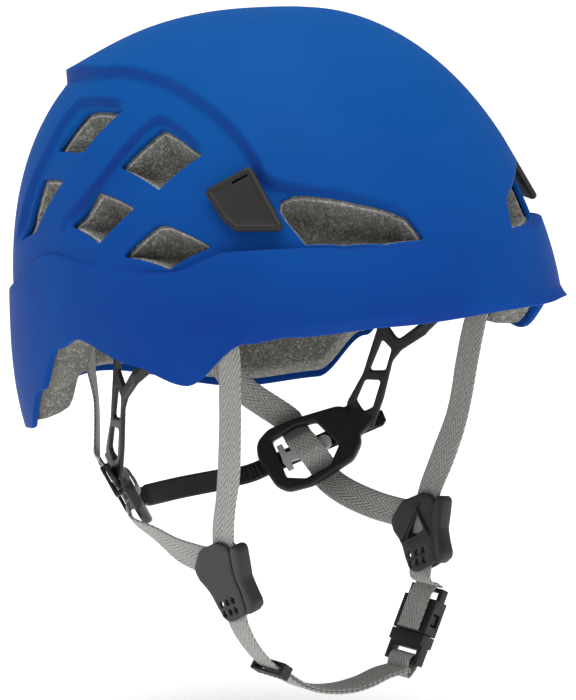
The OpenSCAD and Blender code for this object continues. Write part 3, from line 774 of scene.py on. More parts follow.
def make_shell():
    """The outer shell with its vents, lips and rim."""
    outer = rim_loop(RIM_LIFT)
    lips = [all_vents(grow) for grow, _ in LIP]
    wide = all_vents(LIP[0][0] + 0.45)
    near = [thinned(row, ROW_GAP) for row in feature_points()]
    near = [row[inside(row, offset(outer, -RIM_CLEAR))] for row in near]
    for ring in wide:
        near = [row[~inside(row, offset(ring, VENT_CLEAR))] for row in near]
    near.append(offset(outer, 0.1 - RIM_CLEAR))
    xy, faces, rings = triangles([outer] + lips[0], [thinned(np.vstack(near), JOINED_GAP)] + wide, 1.0)
    az, la = unflat(xy)
    radius = base_radius(az, la) + relief(az, la)
    skin = Skin()
    skin.patch(at(az, la, radius), faces)
    inner = skin.patch(at(az, la, radius - SHELL_WALL), faces, flipped=True)
    for k, ring in enumerate(rings[1:]):
        last = skin.bands(ring, [surface(*unflat(lip[k]), depth)
                                 for lip, (_, depth) in zip(lips[1:], LIP[1:])])
        skin.faces += band_faces(last, [inner[i] for i in ring])
    edge_az, edge_la = unflat(xy[rings[0]])
    last = skin.bands(rings[0], [surface(edge_az, edge_la - (RIM_LIFT - lift), depth * RIM_WALL / SHELL_WALL)
                                 for lift, depth in RIM_RINGS])
    skin.faces += band_faces(last, [inner[i] for i in rings[0]])
    made = new_object("shell", *skin.mesh(), SHELL_BLUE, 50.0)
    # How steep the relief is at each point, for the painted shade on its walls; the seam and the pole have
    # none
    reach = 0.35
    mm = np.radians(2 * reach) * radius
    above = np.minimum(la + reach, 90)
    climb = np.hypot((relief(az, above) - relief(az, la - reach)) / mm,
                     (relief(az + reach, la) - relief(az - reach, la)) / (mm * np.cos(np.radians(la)) + 0.01))
    steep = np.zeros(skin.total, np.float32)
    steep[:len(xy)] = np.where((np.abs(az) < 179.5) & (la < 89), climb, 0)
    made.data.attributes.new("steep", "FLOAT", "POINT").data.foreach_set("value", steep)
    return made


# ---------------------------------------------------------------- foam

# Rings of a pocket in the foam behind a vent: outwards from the outline (flat units) and depth (mm)
POCKET = [(-0.08, 0.0), (-0.42, 0.25), (-0.7, 1.0), (-1.5, 7.5), (-2.6, 11.0)]
# Rings of the foam's lower edge: degrees above its outer edge, and depth (mm)
FOAM_RINGS = [(-0.7, 1.2), (-1.0, 5.0), (-0.9, 12.0), (-0.3, 16.5)]
FOAM_THICK = 18.0


def make_side_foam():
    """The grey liner from the rim to the crown liner, with a pocket behind each vent."""
    pockets = [all_vents(grow) for grow, _ in POCKET]
    az = np.linspace(-180, 180, 200, endpoint=False)
    top = resampled(flat(az, np.full_like(az, FOAM_SPLIT)), 1.4, closed=True)
    xy, faces, rings = triangles([rim_loop(1.9), top] + pockets[0], [], 1.5)
    skin = Skin()
    skin.patch(surface(*unflat(xy), LINER_OUT), faces)
    pale = []
    for k, ring in enumerate(rings[2:]):
        levels = [surface(*unflat(pocket[k]), LINER_OUT + depth)
                  for pocket, (_, depth) in zip(pockets[1:], POCKET[1:])]
        # The first band round the pocket's mouth is painted paler: a painted highlight for the light its rim
        # catches
        pale += range(len(skin.faces), len(skin.faces) + len(ring))
        last = skin.bands(ring, levels)
        skin.faces += fan_faces(last, skin.add(levels[-1].mean(axis=0, keepdims=True) * 0.985)[0])
    # The inner face, then the rounded lower edge and the straight upper edge between the two faces
    in_xy, in_faces, in_rings = triangles([rim_loop(2.6), top], [], 1.8)
    az, la = unflat(in_xy)
    inner = skin.patch(at(az, la, base_radius(az, la) - LINER_IN), in_faces, flipped=True)
    az, edge_la = unflat(xy[rings[0]])
    levels = []
    for lift, depth in FOAM_RINGS:
        la = edge_la + lift
        levels.append(at(az, la, base_radius(az, la) + relief(az, la) * (1 - depth / FOAM_THICK)
                         - LINER_OUT - depth))
    rings[0] = skin.bands(rings[0], levels)
    points = skin.mesh()[0]
    for ring, in_ring in zip(rings, in_rings):
        skin.faces += bridge(points, ring, [inner[i] for i in in_ring])
    foam = new_object("side_foam", *skin.mesh(), SIDE_FOAM, 40.0)
    # Painted highlight: the first band round each pocket's mouth takes the paler foam
    foam.data.materials.append(FOAM_RIM_HIGHLIGHT)
    for index in pale:
        foam.data.polygons[index].material_index = 1
    return foam


def bridge(points, ring_a, ring_b):
    """Triangles between two closed rings that may differ in length; both run the same way round."""
    def in_order(ring):
        """A ring's azimuths and indices, from -180 degrees up."""
        az = np.degrees(np.arctan2(points[ring][:, 0], -points[ring][:, 1]))
        order = np.argsort(az)
        return az[order], [ring[i] for i in order]

    (a, ring_a), (b, ring_b) = in_order(ring_a), in_order(ring_b)
    i = j = 0
    n, m = len(ring_a), len(ring_b)
    faces = []
    while i < n or j < m:
        next_a = a[(i + 1) % n] + (360 if i + 1 >= n else 0)
        next_b = b[(j + 1) % m] + (360 if j + 1 >= m else 0)
        if j >= m or (i < n and next_a <= next_b):
            faces.append((ring_a[i % n], ring_a[(i + 1) % n], ring_b[j % m]))
            i += 1
        else:
            faces.append((ring_a[i % n], ring_b[(j + 1) % m], ring_b[j % m]))
            j += 1
    return faces


# The crown liner's inner channels: how many, how deep, and where they end below the crown (degrees)
INNER_CHANNELS, INNER_DEPTH, INNER_END = 4, 2.0, (86, 8)


def make_crown_foam():
    """The crown liner: a dome with shallow radial channels on its inside."""
    az = np.arange(-180, 180, 4.0)
    rows = np.linspace(FOAM_SPLIT + 0.6, 87.5, 14)
    n, size = len(az), len(az) * len(rows) + 1
    vertices, faces = [], []
    for start, inset, dip in ((0, LINER_OUT, BROW_DEPTH), (size, LINER_IN, 0)):
        for row in rows:
            la = np.full_like(az, row)
            if inset == LINER_OUT:
                stand_out = np.minimum(relief(az, la), 0)
            else:
                lobes = np.clip(np.cos(np.radians(az * INNER_CHANNELS)), 0, 1) ** 3
                stand_out = INNER_DEPTH * lobes * smooth((INNER_END[0] - la) / INNER_END[1])
            vertices.append(at(az, la, base_radius(az, la) + stand_out - inset))
        vertices.append(np.array([[0, 0, CROWN - inset - dip]]))
        faces += tube_faces(len(rows), n, start)
        faces += fan_faces(range(start + size - 1 - n, start + size - 1), start + size - 1)
    faces += band_faces(range(n), range(size, size + n))
    return new_object("crown_foam", np.vstack(vertices), faces, CROWN_FOAM, 40.0)


shell = make_shell()
side_foam = make_side_foam()
crown_foam = make_crown_foam()

# ---------------------------------------------------------------- local frames, as in part.scad

CLIP_NORMAL = np.array([0.768, -0.496, 0.405])
CLIP_FRAME = frame_of(np.array([85.7, -55.5, 63.2]) - 3.2 * CLIP_NORMAL + np.array([0.2, 0.6, 2.3]),
                      np.cross([0, 0, 1], CLIP_NORMAL), np.array([0, 0, 1]) - 0.405 * CLIP_NORMAL)
REAR_CLIP = frame_of(at(180.0, 33.0, base_radius(180.0, 33.0)) + [0, -1.1, 0.3], [-1, 0, 0], [0, -0.73, 1])
BUCKLE_FRAME = frame_of([58, 60, -74], [-0.62, 0.752, -0.232], [-0.232, -0.457, -0.859])
DIVIDER_FRAME = frame_of([61, -14, -108], [0.013, -0.997, 0.073], [0.18, 0.074, 0.981])
STRAP_Y = -16.5
CHIN_FRAME = frame_of([55.5, STRAP_Y, -150.5], [-0.5, 0, -0.866], [0, -1, 0])
KEEPER_FRAME = frame_of([-37.6, STRAP_Y, -151.8], [0.8, 0, -0.6], [0, -1, 0])
FRAME_THICK, BAND_THICK, NAPE_WIDTH = 5.0, 1.8, 11.0
WEB_WIDTH, WEB_THICK = 13.8, 1.4


def in_buckle(u, v, z):
    """A point given in the frame of the left buckle frame."""
    return placed(BUCKLE_FRAME, [u, v, z])


def in_divider(u, v, z):
    """A point given in the frame of the left strap divider."""
    return placed(DIVIDER_FRAME, [u, v, z])


def in_chin(x, z):
    """A point given in the frame of the chin buckle, on its middle plane."""
    return placed(CHIN_FRAME, [x, 0, z])


def both_sides(left, middle):
    """A line over both sides from its left half and its middle point."""
    left = np.asarray(left, float)
    return np.vstack([left, [middle], mirrored(left)[::-1]])


# ---------------------------------------------------------------- solids


def plate_mesh(outline, holes, layers, radius):
    """A plate from its outline: layers holds pairs of inset and height, from the bottom to the top."""
    loops = [resampled(rounded(outline, radius, 6), 1.6, closed=True)]
    for hole in holes:
        corner, spacing = (0.3, 0.4) if np.ptp(np.array(hole), axis=0).max() < 5 else (0.8, 1.1)
        loops.append(resampled(rounded(hole, corner, 4), spacing, closed=True))
    skin, last = Skin(), []
    for index, (inset, z) in enumerate(layers):
        shapes = [offset(loops[0], -inset)] + [offset(loop, inset) for loop in loops[1:]]
        if index in (0, len(layers) - 1):
            xy, faces, rings = triangles(shapes, [], 2.2)
        else:
            ends = np.cumsum([len(shape) for shape in shapes])
            xy, faces = np.vstack(shapes), []
            rings = [range(end - len(shape), end) for end, shape in zip(ends, shapes)]
        indices = skin.patch(np.column_stack([xy, np.full(len(xy), z)]), faces)
        rings = [[indices[i] for i in ring] for ring in rings]
        for lower, upper in zip(last, rings):
            skin.faces += band_faces(lower, upper)
        last = rings
    return skin.mesh()


BOX_FACES = [(0, 1, 3, 2), (4, 6, 7, 5), (0, 4, 5, 1), (2, 3, 7, 6), (0, 2, 6, 4), (1, 5, 7, 3)]


def box_mesh(low, high):
    """A box between two opposite corners."""
    xs, ys, zs = zip(low, high)
    return np.array([(x, y, z) for x in xs for y in ys for z in zs], float), BOX_FACES


def joined(*meshes):
    """One mesh from several."""
    skin = Skin()
    for points, faces in meshes:
        skin.patch(np.asarray(points, float), faces)
    return skin.mesh()


def solid(name, mesh, local, side, material, sharp=35.0):
    """An object from a mesh in a local frame on the left side; side -1 mirrors it to the right."""
    points = placed(local, mesh[0]) if local is not None else np.asarray(mesh[0], float)
    return new_object(name, mirrored(points) if side < 0 else points, mesh[1], material, sharp)


def cut(piece, tool, operation="DIFFERENCE"):
    """Cuts the tool out of the piece, or adds it, and removes the tool."""
    modifier = piece.modifiers.new("cut", "BOOLEAN")
    modifier.object = tool
    modifier.operation = operation
    modifier.solver = "EXACT"
    applied(piece)
    bpy.data.objects.remove(tool)
    return piece


def eased_edges(piece, width, segments=2):
    """The piece with its hard edges rounded."""
    modifier = piece.modifiers.new("edges", "BEVEL")
    modifier.width = width * MM
    modifier.segments = segments
    modifier.limit_method = "ANGLE"
    modifier.angle_limit = math.radians(32.0)
    modifier.harden_normals = False
    shaded(applied(piece).data, 30.0)
    return piece


def cad_copy(node, name, material, bevel=0.0, segments=2):
    """A CAD node's own shape with its hard edges eased where bevel says how far."""
    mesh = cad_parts[node].data.copy()
    bm = bmesh.new()
    bm.from_mesh(mesh)
    bmesh.ops.remove_doubles(bm, verts=bm.verts, dist=0.00002)
    bmesh.ops.dissolve_limit(bm, angle_limit=math.radians(3), verts=bm.verts, edges=bm.edges)
    bm.to_mesh(mesh)
    bm.free()
    piece = finished(name, mesh, material, 30.0)
    if bevel:
        eased_edges(piece, bevel, segments)
    return piece


def hull_mesh(points):
    """The convex hull of millimetre points."""
    bm = bmesh.new()
    for point in points:
        bm.verts.new(point)
    made = bmesh.ops.convex_hull(bm, input=bm.verts)
    inner = [g for g in made["geom_interior"] + made["geom_unused"] if isinstance(g, bmesh.types.BMVert)]
    bmesh.ops.delete(bm, geom=list(set(inner)), context="VERTS")
    bm.verts.index_update()
    mesh = np.array([tuple(v.co) for v in bm.verts]), [tuple(v.index for v in f.verts) for f in bm.faces]
    bm.free()
    return mesh


def ring_points(radius, z):
    """Points of a circle round the Z axis."""
    turn = np.linspace(0, 2 * np.pi, 28, endpoint=False)
    return np.column_stack([radius * np.cos(turn), radius * np.sin(turn), np.full(len(turn), z)])


def set_in(local, mesh):
    """A mesh given in a local frame, in the helmet's frame."""
    return placed(local, mesh[0]), mesh[1]


def remeshed(piece, voxel_mm):
    """Gives the piece a modifier that joins its solids into one even skin."""
    remesh = piece.modifiers.new("even", "REMESH")
    remesh.mode = "VOXEL"
    remesh.voxel_size = voxel_mm * MM
    return piece


def melted(piece, voxel_mm, rounds, keep):
    """One moulding from overlapping closed solids: a fine remesh joins them and rounds their edges."""
    ease = remeshed(piece, voxel_mm).modifiers.new("ease", "SMOOTH")
    ease.iterations, ease.factor = rounds, 0.5
    piece.modifiers.new("thin", "DECIMATE").ratio = keep
    material = piece.data.materials[0]
    applied(piece)
    piece.data.materials.clear()
    piece.data.materials.append(material)
    shaded(piece.data, 180.0)
    return piece


def mirror_copy(piece, name):
    """The piece's mirror image on the other side."""
    mesh = piece.data.copy()
    mesh.transform(Matrix.Diagonal((-1, 1, 1, 1)))
    mesh.flip_normals()
    twin = bpy.data.objects.new(name, mesh)
    bpy.context.scene.collection.objects.link(twin)
    return twin


def standing_for(piece, body, slot, *nodes):
    """Says which body moves the piece and which CAD nodes it replaces; slot is not used."""
    if body:
        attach(piece, body)
    if nodes:
        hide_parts(*nodes)
    return piece


# ---------------------------------------------------------------- straps


def along(route, wides, spacing):
    """Evenly spaced stations of a strap: centre, across, face and distance run."""
    line, across = spline(route, 14), spline(wides, 14)
    run = run_along(line)
    marks = np.linspace(0, run[-1], int(run[-1] / spacing) + 1)
    line, across = at_marks(marks, run, line), at_marks(marks, run, across)
    tangent = units(np.gradient(line, axis=0))
    across = units(across - np.sum(across * tangent, axis=1)[:, None] * tangent)
    return line, across, np.cross(tangent, across), marks


def swept(stations, profile):
    """A closed sweep: profile gives, for each station, pairs of across and out, all the same number."""
    line, across, face, _ = (part[:, None] for part in stations)
    n, m = profile.shape[:2]
    vertices = (line + profile[..., :1] * across + profile[..., 1:] * face).reshape(-1, 3)
    return vertices, tube_faces(n, m) + [tuple(range(m)), tuple(range((n - 1) * m, n * m))]


# A strap's nubs stand out SELVEDGE at every second station, TOOTH apart. Its edges ripple up and down once
# in about 35 mm, fading out over its ends
SELVEDGE, TOOTH = 0.14, 0.65
RIPPLE_LENGTH, RIPPLE_ENDS = 5.5, 12


def web_mesh(route, wides, thick=WEB_THICK, ripple=0.12, phase=0.0):
    """A woven strap with nubbed selvedges; returns its mesh and each vertex's place in the weave."""
    stations = along(route, wides, TOOTH)
    marks = stations[3]
    nub = SELVEDGE * np.where(np.arange(len(marks)) % 2, 1, -1)
    half = WEB_WIDTH / 2
    right = [(0, 0.5), (half * 0.5, 0.5), (half - 0.8, 0.47), (half - 0.28, 0.34), (half, 0)]
    top = [(-x, z) for x, z in right[:0:-1]] + right
    ring = top + [(x, -z) for x, z in top[-2:0:-1]]
    profile, weave = np.zeros((2, len(marks), len(ring), 2))
    ends = np.minimum(1, np.minimum(marks, marks[-1] - marks) / RIPPLE_ENDS)
    for j, (x, z) in enumerate(ring):
        profile[:, j, 0] = x + np.sign(x) * (nub if abs(x) > half - 0.5 else 0)
        wave = np.sin(marks / RIPPLE_LENGTH + phase + (1.2 if x > 0 else 0)) * (abs(x) / half) ** 2
        profile[:, j, 1] = z * thick + ripple * wave * ends
        weave[:, j, 0] = x / WEB_WIDTH + 0.5
        weave[:, j, 1] = marks / WEAVE_REPEAT
    return swept(stations, profile), weave.reshape(-1, 2)


def web_object(name, parts, side=1):
    """One object from several woven lengths."""
    meshes, weaves = zip(*parts)
    weave = np.vstack(weaves)
    piece = solid(name, joined(*meshes), None, side, WEBBING, 60.0)
    layer = piece.data.uv_layers.new(name="weave")
    index = np.empty(len(piece.data.loops), int)
    piece.data.loops.foreach_get("vertex_index", index)
    layer.data.foreach_set("uv", weave[index].astype(np.float32).ravel())
    return piece


# Each strap's centre line and, at the same marks, the direction across it
fore = [0, -1, 0]
FRONT_ROUTE = [[80.5, -38, 15], [79.5, -37.5, 6], [75.8, -36, -6], [73.5, -33, -25], [71, -29, -50],
               [68, -22.4, -70], in_divider(3.4, 18, 0), in_divider(2.2, 0, 0)]
FRONT_WIDES = [[-0.3, -0.95, 0], [-0.25, -0.97, 0], fore, fore, [0, -1, 0.1], [0.1, -1, 0.05],
               DIVIDER_FRAME[1], DIVIDER_FRAME[1]]
WEAVE_WIDE = 0.98 * BUCKLE_FRAME[1] + 0.2 * BUCKLE_FRAME[2]
# Levels of the rear strap outside and inside the buckle frame that it weaves through
OUTER, INNER = -5.2, 3.5
REAR_LEFT = [in_divider(-6.4, 9, 0), in_divider(-16, 9.5, 0), [61.8, 18, -98.8], [60.3, 35, -95.3],
             in_buckle(-6, 18.5, OUTER), in_buckle(-4.4, 12.5, OUTER + 0.2),
             in_buckle(-3, 9.2, -2.2), in_buckle(-1.6, 6, INNER - 0.6), in_buckle(1, 1.5, INNER + 0.2),
             in_buckle(4, -3.4, INNER - 0.8), in_buckle(5.4, -6.6, -2.2), in_buckle(7, -10.5, OUTER + 0.2),
             in_buckle(8.6, -14, OUTER), in_buckle(11, -18, OUTER), [44, 98, -46], [38, 110, -24],
             [26, 122, -8]]
UP_WEB = DIVIDER_FRAME[2] * math.copysign(1, WEAVE_WIDE @ DIVIDER_FRAME[2])
REAR_WIDES = ([UP_WEB, UP_WEB, mix(UP_WEB, WEAVE_WIDE, 0.22), mix(UP_WEB, WEAVE_WIDE, 0.62)]
              + [WEAVE_WIDE] * 10 + [[-0.5, 0.5, -0.3], [-0.75, 0.5, -0.3], [-0.6, 0.3, -0.7]])
CHIN_LINE = [mirrored(in_divider(2, y, 0)) for y in (-2.5, -12, -19.5)]
CHIN_LINE += [[x, STRAP_Y, z] for x, z in ((-50.5, -138), (-38, -151.5), (-24, -162), (-9, -168.5),
                                          (6, -171.5), (20, -171.5), (32, -170))]
CHIN_LINE += [in_chin(22.5, 0)]
CHIN_LEFT = [in_divider(2, -2.5, 0), in_divider(2, -12, 0), in_divider(2, -20.5, 0), in_chin(-20.4, 0)]
# The turn round the bar of the buckle's male half, and the strap sewn back over the female half's inner
# face as a guard for the skin
BAR_TURN = [in_chin(x, z) for x, z in ((25.5, 0.7), (22, 2.4), (18.4, 3.3), (15.6, 2.5), (14.4, 0),
                                       (15.6, -2.5), (18.4, -3.3), (22, -2.4), (25.5, -0.9))]
GUARD = [in_chin(x, z) for x, z in ((-21, 2.2), (-17, 4.2), (-12.5, 5.1), (-4, 5.1), (3.2, 5.1))]
TAIL_GAP, THIN_WEB = 1.32, 1.1


def make_webs():
    """The front straps, the rear strap in one piece, and the chin strap's two parts."""
    for side, name in ((1, "left"), (-1, "right")):
        piece = web_object("front_strap_" + name, [web_mesh(FRONT_ROUTE, FRONT_WIDES, phase=side)], side)
        standing_for(piece, "helmet", "webbing", "front_web_" + name)
    rear = web_mesh(both_sides(REAR_LEFT, [0, 130, 0]), both_sides(REAR_WIDES, [0, 0.1, -1]), ripple=0.1)
    standing_for(web_object("rear_strap", [rear]), "helmet", "webbing", "rear_web")
    chin = web_mesh(CHIN_LINE, [fore] * len(CHIN_LINE), ripple=0.15)
    # The free end, doubled back from the buckle's bar to just past the keeper
    line = np.array(CHIN_LINE[4:])
    lift = units(np.cross(np.gradient(line, axis=0), [0, 1.0, 0]))
    lift *= np.sign(lift[:, 2:])
    tail = web_mesh(line + TAIL_GAP * lift, [fore] * len(line), THIN_WEB, 0.1, 2.0)
    turn = web_mesh(BAR_TURN, [fore] * len(BAR_TURN), THIN_WEB, 0.0)
    doubled = web_object("chin_strap", [chin, tail, turn])
    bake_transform(doubled)
    standing_for(doubled, None, "webbing", "chin_web")
    left = web_object("chin_strap_left", [web_mesh(CHIN_LEFT, [fore] * len(CHIN_LEFT), ripple=0.05),
                                          web_mesh(GUARD, [fore] * len(GUARD), 1.2, 0.05)])
    standing_for(left, "helmet", "webbing", "chin_web_left")


make_webs()

# ---------------------------------------------------------------- headband

BAND_TOOTH, TOOTH_HIGH, TOOTH_SHARE = 2.6, 0.75, 0.62


def band_rise(u):
    """The height of the nape band's centre line on the buckle frame."""
    return 0.8 + 0.2 * u


def make_nape():
    """The toothed band behind the head, smooth and thicker in its middle."""
    level = -FRAME_THICK / 2 - 1.6
    local = [in_buckle(u, band_rise(u), level) for u in (-39, -26, -13, 0, 11, 22)]
    left = np.array(local + [[36.5, 81, -89], [24, 86, -90.5], [12, 88.5, -91]])
    wide = ([-BUCKLE_FRAME[2] + 0.2 * BUCKLE_FRAME[1]] * len(local)
            + [[0.1, 0.4, 0.9], [0.05, 0.25, 0.95], [0, 0.2, 0.97]])
    stations = along(both_sides(left, [0, 89, -91]), both_sides(wide, [0, 0.2, 0.97]), 0.5)
    line, _, face, marks = stations
    outside = -1.0 if face[len(face) // 2][1] > 0 else 1.0
    to_end = np.minimum(marks, marks[-1] - marks)
    middle = smooth((27 - np.abs(line[:, 0])) / 4) * (line[:, 1] > 60)
    phase = (marks / BAND_TOOTH) % 1.0
    tooth = np.where(phase < TOOTH_SHARE,
                     TOOTH_HIGH * np.minimum(1, np.minimum(phase, TOOTH_SHARE - phase) / 0.1), 0)
    tooth = np.where((middle < 0.02) & (to_end > 4), tooth, 0)
    half = (4.6 + 0.7 * middle) * np.sqrt(np.minimum(1, 0.35 + to_end / 4))
    low = BAND_THICK / 2 - 0.1 + 0.6 * middle
    # Points round the section: share of the half width, face (1 outer), and whether it is on a tooth
    ring = [(sx, 1, abs(sx) < 0.83) for sx in (-1, -0.86, -0.8, 0, 0.8, 0.86, 1)]
    ring += [(sx, -1, False) for sx in (1, 0.86, 0, -0.86, -1)]
    profile = np.stack([np.stack([sx * half, way * outside * (low + (tooth if toothed else 0)
                                                              - (0.45 if abs(sx) == 1 else 0))], -1)
                        for sx, way, toothed in ring], 1)
    band = solid("nape_strap", swept(stations, profile), None, 1, SOFT_BLACK, 28.0)
    standing_for(band, "helmet", "soft_black", "nape_band")


ARM_FRAME = frame_of([84, 30, -10], [-0.272, 0.908, 0.318], [-0.137, 0.29, -0.947])
PIN_FRAMES = [frame_of(centre, [0, 1, 0], [0, 0, 1]) for centre in ([88.5, 24.5, 5], [88.2, -13, 4])]
ARM_OUTLINE = [[4, -10], [3.2, 9], [3.2, 32], [7, 50], [-2, 56], [-11, 57], [-11.5, 39], [-10, 20],
               [-12.8, 13], [-24, -1], [-19, -5], [-9.4, 8.8], [-1.6, 4], [-2, -10]]
ARM_WINDOWS = [[[-1.3, 12], [-7.6, 14.6], [-7.9, 25.6], [0.2, 29]],
               [[1, 34.6], [-7.2, 31.4], [-7.4, 45.6], [-3.4, 49.6], [2.2, 46]]]
ARM_LAYERS = [(0.5, -1.15), (0, -0.6), (0, 0.6), (0.5, 1.15)]
FRAME_OUTLINE = [[-22, -16], [6, -14], [19, -11.5], [26, -6], [26.5, 2], [19.5, 18.5], [14, 22.5], [1, 22],
                 [-21, 13.5], [-27, 5]]
FRAME_WINDOW = [[18, -5], [5, -9.6], [-5.5, -9.6], [-15, 4.5], [-9, 13.5], [4, 17.5], [13.5, 15]]
FRAME_LAYERS = [(1.3, -2.5), (0.45, -2.1), (0, -1.3), (0, 1.3), (0.45, 2.1), (1.3, 2.5)]


def bridge_boxes(u, length):
    """The loop on a buckle frame's outer face that the nape band runs through."""
    half = NAPE_WIDTH / 2
    turn = math.radians(11.3)
    origin = in_buckle(u, band_rise(u), -FRAME_THICK / 2)
    ex = math.cos(turn) * BUCKLE_FRAME[1] + math.sin(turn) * BUCKLE_FRAME[2]
    local = frame_of(origin, ex, BUCKLE_FRAME[2])
    boxes = [box_mesh((-length / 2, half + 0.4, -4.6), (length / 2, half + 2.4, 0.5)),
             box_mesh((-length / 2, -half - 2.4, -4.6), (length / 2, -half - 0.4, 0.5)),
             box_mesh((-length / 2, -half - 2.4, -4.6), (length / 2, half + 2.4, -2.9))]
    return [set_in(local, box) for box in boxes]


def make_headband():
    """Each side's arm as one moulding: windowed strip, buckle frame, its loops and the pins' bosses."""
    link = np.vstack([placed(ARM_FRAME, box_mesh((-10, 50, -1.1), (5, 54, 1.1))[0]),
                      placed(BUCKLE_FRAME, box_mesh((-23, -14, -2), (-19, 4, 1.6))[0])])
    meshes = [set_in(ARM_FRAME, plate_mesh(ARM_OUTLINE, ARM_WINDOWS, ARM_LAYERS, 2.4)),
              set_in(BUCKLE_FRAME, plate_mesh(FRAME_OUTLINE, [FRAME_WINDOW], FRAME_LAYERS, 8.0)),
              hull_mesh(link)] + bridge_boxes(-18.5, 4) + bridge_boxes(20.5, 4)
    for pin, box in zip(PIN_FRAMES, (box_mesh((-1, -10, -1.1), (3, -6, 1.1))[0],
                                     box_mesh((-22, -3, -1.1), (-18, 1, 1.1))[0])):
        meshes.append(hull_mesh(placed(pin, np.vstack([ring_points(5.5, -3.7), ring_points(5.5, -0.3)]))))
        neck = placed(pin, np.vstack([ring_points(4, -3.2), ring_points(4, -0.8)]))
        meshes.append(hull_mesh(np.vstack([placed(ARM_FRAME, box), neck])))
    arm = melted(new_object("side_arm_left", *joined(*meshes), SOFT_BLACK, 180.0), 0.5, 5, 0.35)
    for name, piece in (("left", arm), ("right", mirror_copy(arm, "side_arm_right"))):
        standing_for(piece, "helmet", "soft_black", "headband_arm_" + name)
        pawl = cad_copy("pawl_button_" + name, "pawl_" + name, PAWL_GREY, 0.35)
        standing_for(pawl, "pawl_" + name, "pawl_grey", "pawl_button_" + name)


make_nape()
make_headband()

# ---------------------------------------------------------------- dividers, keeper and chin buckle


DIVIDER_OUTLINE = [[2.1, 20.2], [-8.6, 16], [-11.6, 14.2], [-17, 6.4], [-17, 3.4], [-15.2, 0], [-11.6, -3],
                   [-8.9, -6.3], [-6.2, -12], [-3, -17], [0.6, -17.9], [4, -16.8], [12, -12.8], [12.9, -9.5],
                   [11.9, -2.5], [10.0, 3], [9.3, 10], [10.2, 16.5], [7.5, 19.4]]
SPINE_OUTLINE = [[10.9, 17.4], [10.2, 10.4], [10.9, 3.3], [12.9, -2.3], [13.9, -9.6], [13.4, -12.9],
                 [16.2, -11.7], [19, -9.2], [19.4, -6.6], [17.3, -1.4], [15.6, 4.2], [16.2, 10.5], [16.6, 18],
                 [15, 19.6], [11.6, 19.4]]
DIVIDER_WINDOW = [[-0.5, 12], [-6, -3], [4.5, 2]]
DIVIDER_RIBS = [([0.4, 15.6], [-9.4, -4.6]), ([-2.4, 14.4], [8.6, 0.2]), ([-7.6, -4.9], [8.8, 2.6])]
SQUARE = ((-1.35, -1.2), (1.15, -1.35), (1.35, 1.2), (-1.15, 1.35))
SQUARE_HOLES = [[[-3.0 + 4.2 * i + 0.9 * j + x, -9.8 - 4.4 * j + 1.5 * i + y] for x, y in SQUARE]
                for i in range(3) for j in range(2)]


def plate_layers(low, high, ease):
    """A plate's insets and heights, with edges eased by ease."""
    return [(ease, low), (ease * 0.3, low + ease * 0.3), (0, low + ease), (0, high - ease),
            (ease * 0.3, high - ease * 0.3), (ease, high)]


def make_dividers():
    """Each strap divider: a cover that opens, and a base plate with its spine and ribs."""
    cover_mesh = plate_mesh(DIVIDER_OUTLINE, SQUARE_HOLES, plate_layers(-3.3, -1.3, 0.6), 2.2)
    openings = SQUARE_HOLES + [DIVIDER_WINDOW]
    base_mesh = joined(plate_mesh(DIVIDER_OUTLINE, openings, plate_layers(1.3, 3.0, 0.5), 2.2),
                       plate_mesh(SPINE_OUTLINE, [], plate_layers(-3.6, 3.6, 1.1), 1.6),
                       box_mesh((8.2, -10, 1.5), (13.4, 16, 2.8)),
                       *[rib_mesh(start, end, 1.2, 2.6, 4.3) for start, end in DIVIDER_RIBS])
    for side, name in ((1, "left"), (-1, "right")):
        for piece, mesh, body, node in (("outer", cover_mesh, "cover_" + name, "cover"),
                                        ("inner", base_mesh, "helmet", "base")):
            made = solid(f"divider_{piece}_{name}", mesh, DIVIDER_FRAME, side, DIVIDER_GREY, 50.0)
            standing_for(made, body, "divider_grey", f"divider_{node}_{name}")


def rib_mesh(start, end, width, low, high):
    """A straight rib with eased edges between two flat points."""
    start, end = np.array(start, float), np.array(end, float)
    across = unit([start[1] - end[1], end[0] - start[0]]) * width / 2
    corners = [start + across, end + across, end - across, start - across]
    return plate_mesh([list(c) for c in corners], [], [(0, low), (0, high - 0.4), (0.35, high)], 0.4)


def make_chin_hardware():
    """The keeper with grooves across its two faces, and the buckle's two halves."""
    keeper = cad_copy("strap_keeper", "keeper_loop", SOFT_BLACK)
    for middle in (-6.4, -3.2, 0, 3.2, 6.4):
        for low, high in ((-3.6, -2.5), (2.5, 3.6)):
            groove = box_mesh((-0.6, middle - 0.6, low), (3.6, middle + 0.6, high))
            cut(keeper, solid("groove", groove, KEEPER_FRAME, 1, SOFT_BLACK))
    standing_for(melted(keeper, 0.3, 4, 0.5), "keeper", "soft_black", "strap_keeper")
    for node, name, bevel, body in (("buckle_female", "buckle_body", 0.7, "helmet"),
                                    ("buckle_male", "buckle_prongs", 0.6, "buckle_plug")):
        standing_for(cad_copy(node, name, SOFT_BLACK, bevel, 3), body, "soft_black", node)


make_dividers()
make_chin_hardware()

# ---------------------------------------------------------------- headlamp clips

CLIP_OUTLINE = [[-3.4, 17.6], [15.8, 6.0], [6.2, -6.9], [0.4, -11.2], [-21.3, -10.8]]
REAR_OUTLINE = [[-9, 17], [9, 17], [14, -6], [9, -11], [-9, -11], [-14, -6]]
CLIP_LAYERS = [(0.9, 0.0), (0.2, 0.35), (0.0, 0.9), (0.0, 1.7), (0.35, 2.4), (1.0, 2.85), (1.5, 3.0),
               (1.9, 2.95), (2.3, 2.7), (3.0, 2.62)]
CLIP_SHARP, SLIT_TILT = 24.0, math.radians(31)


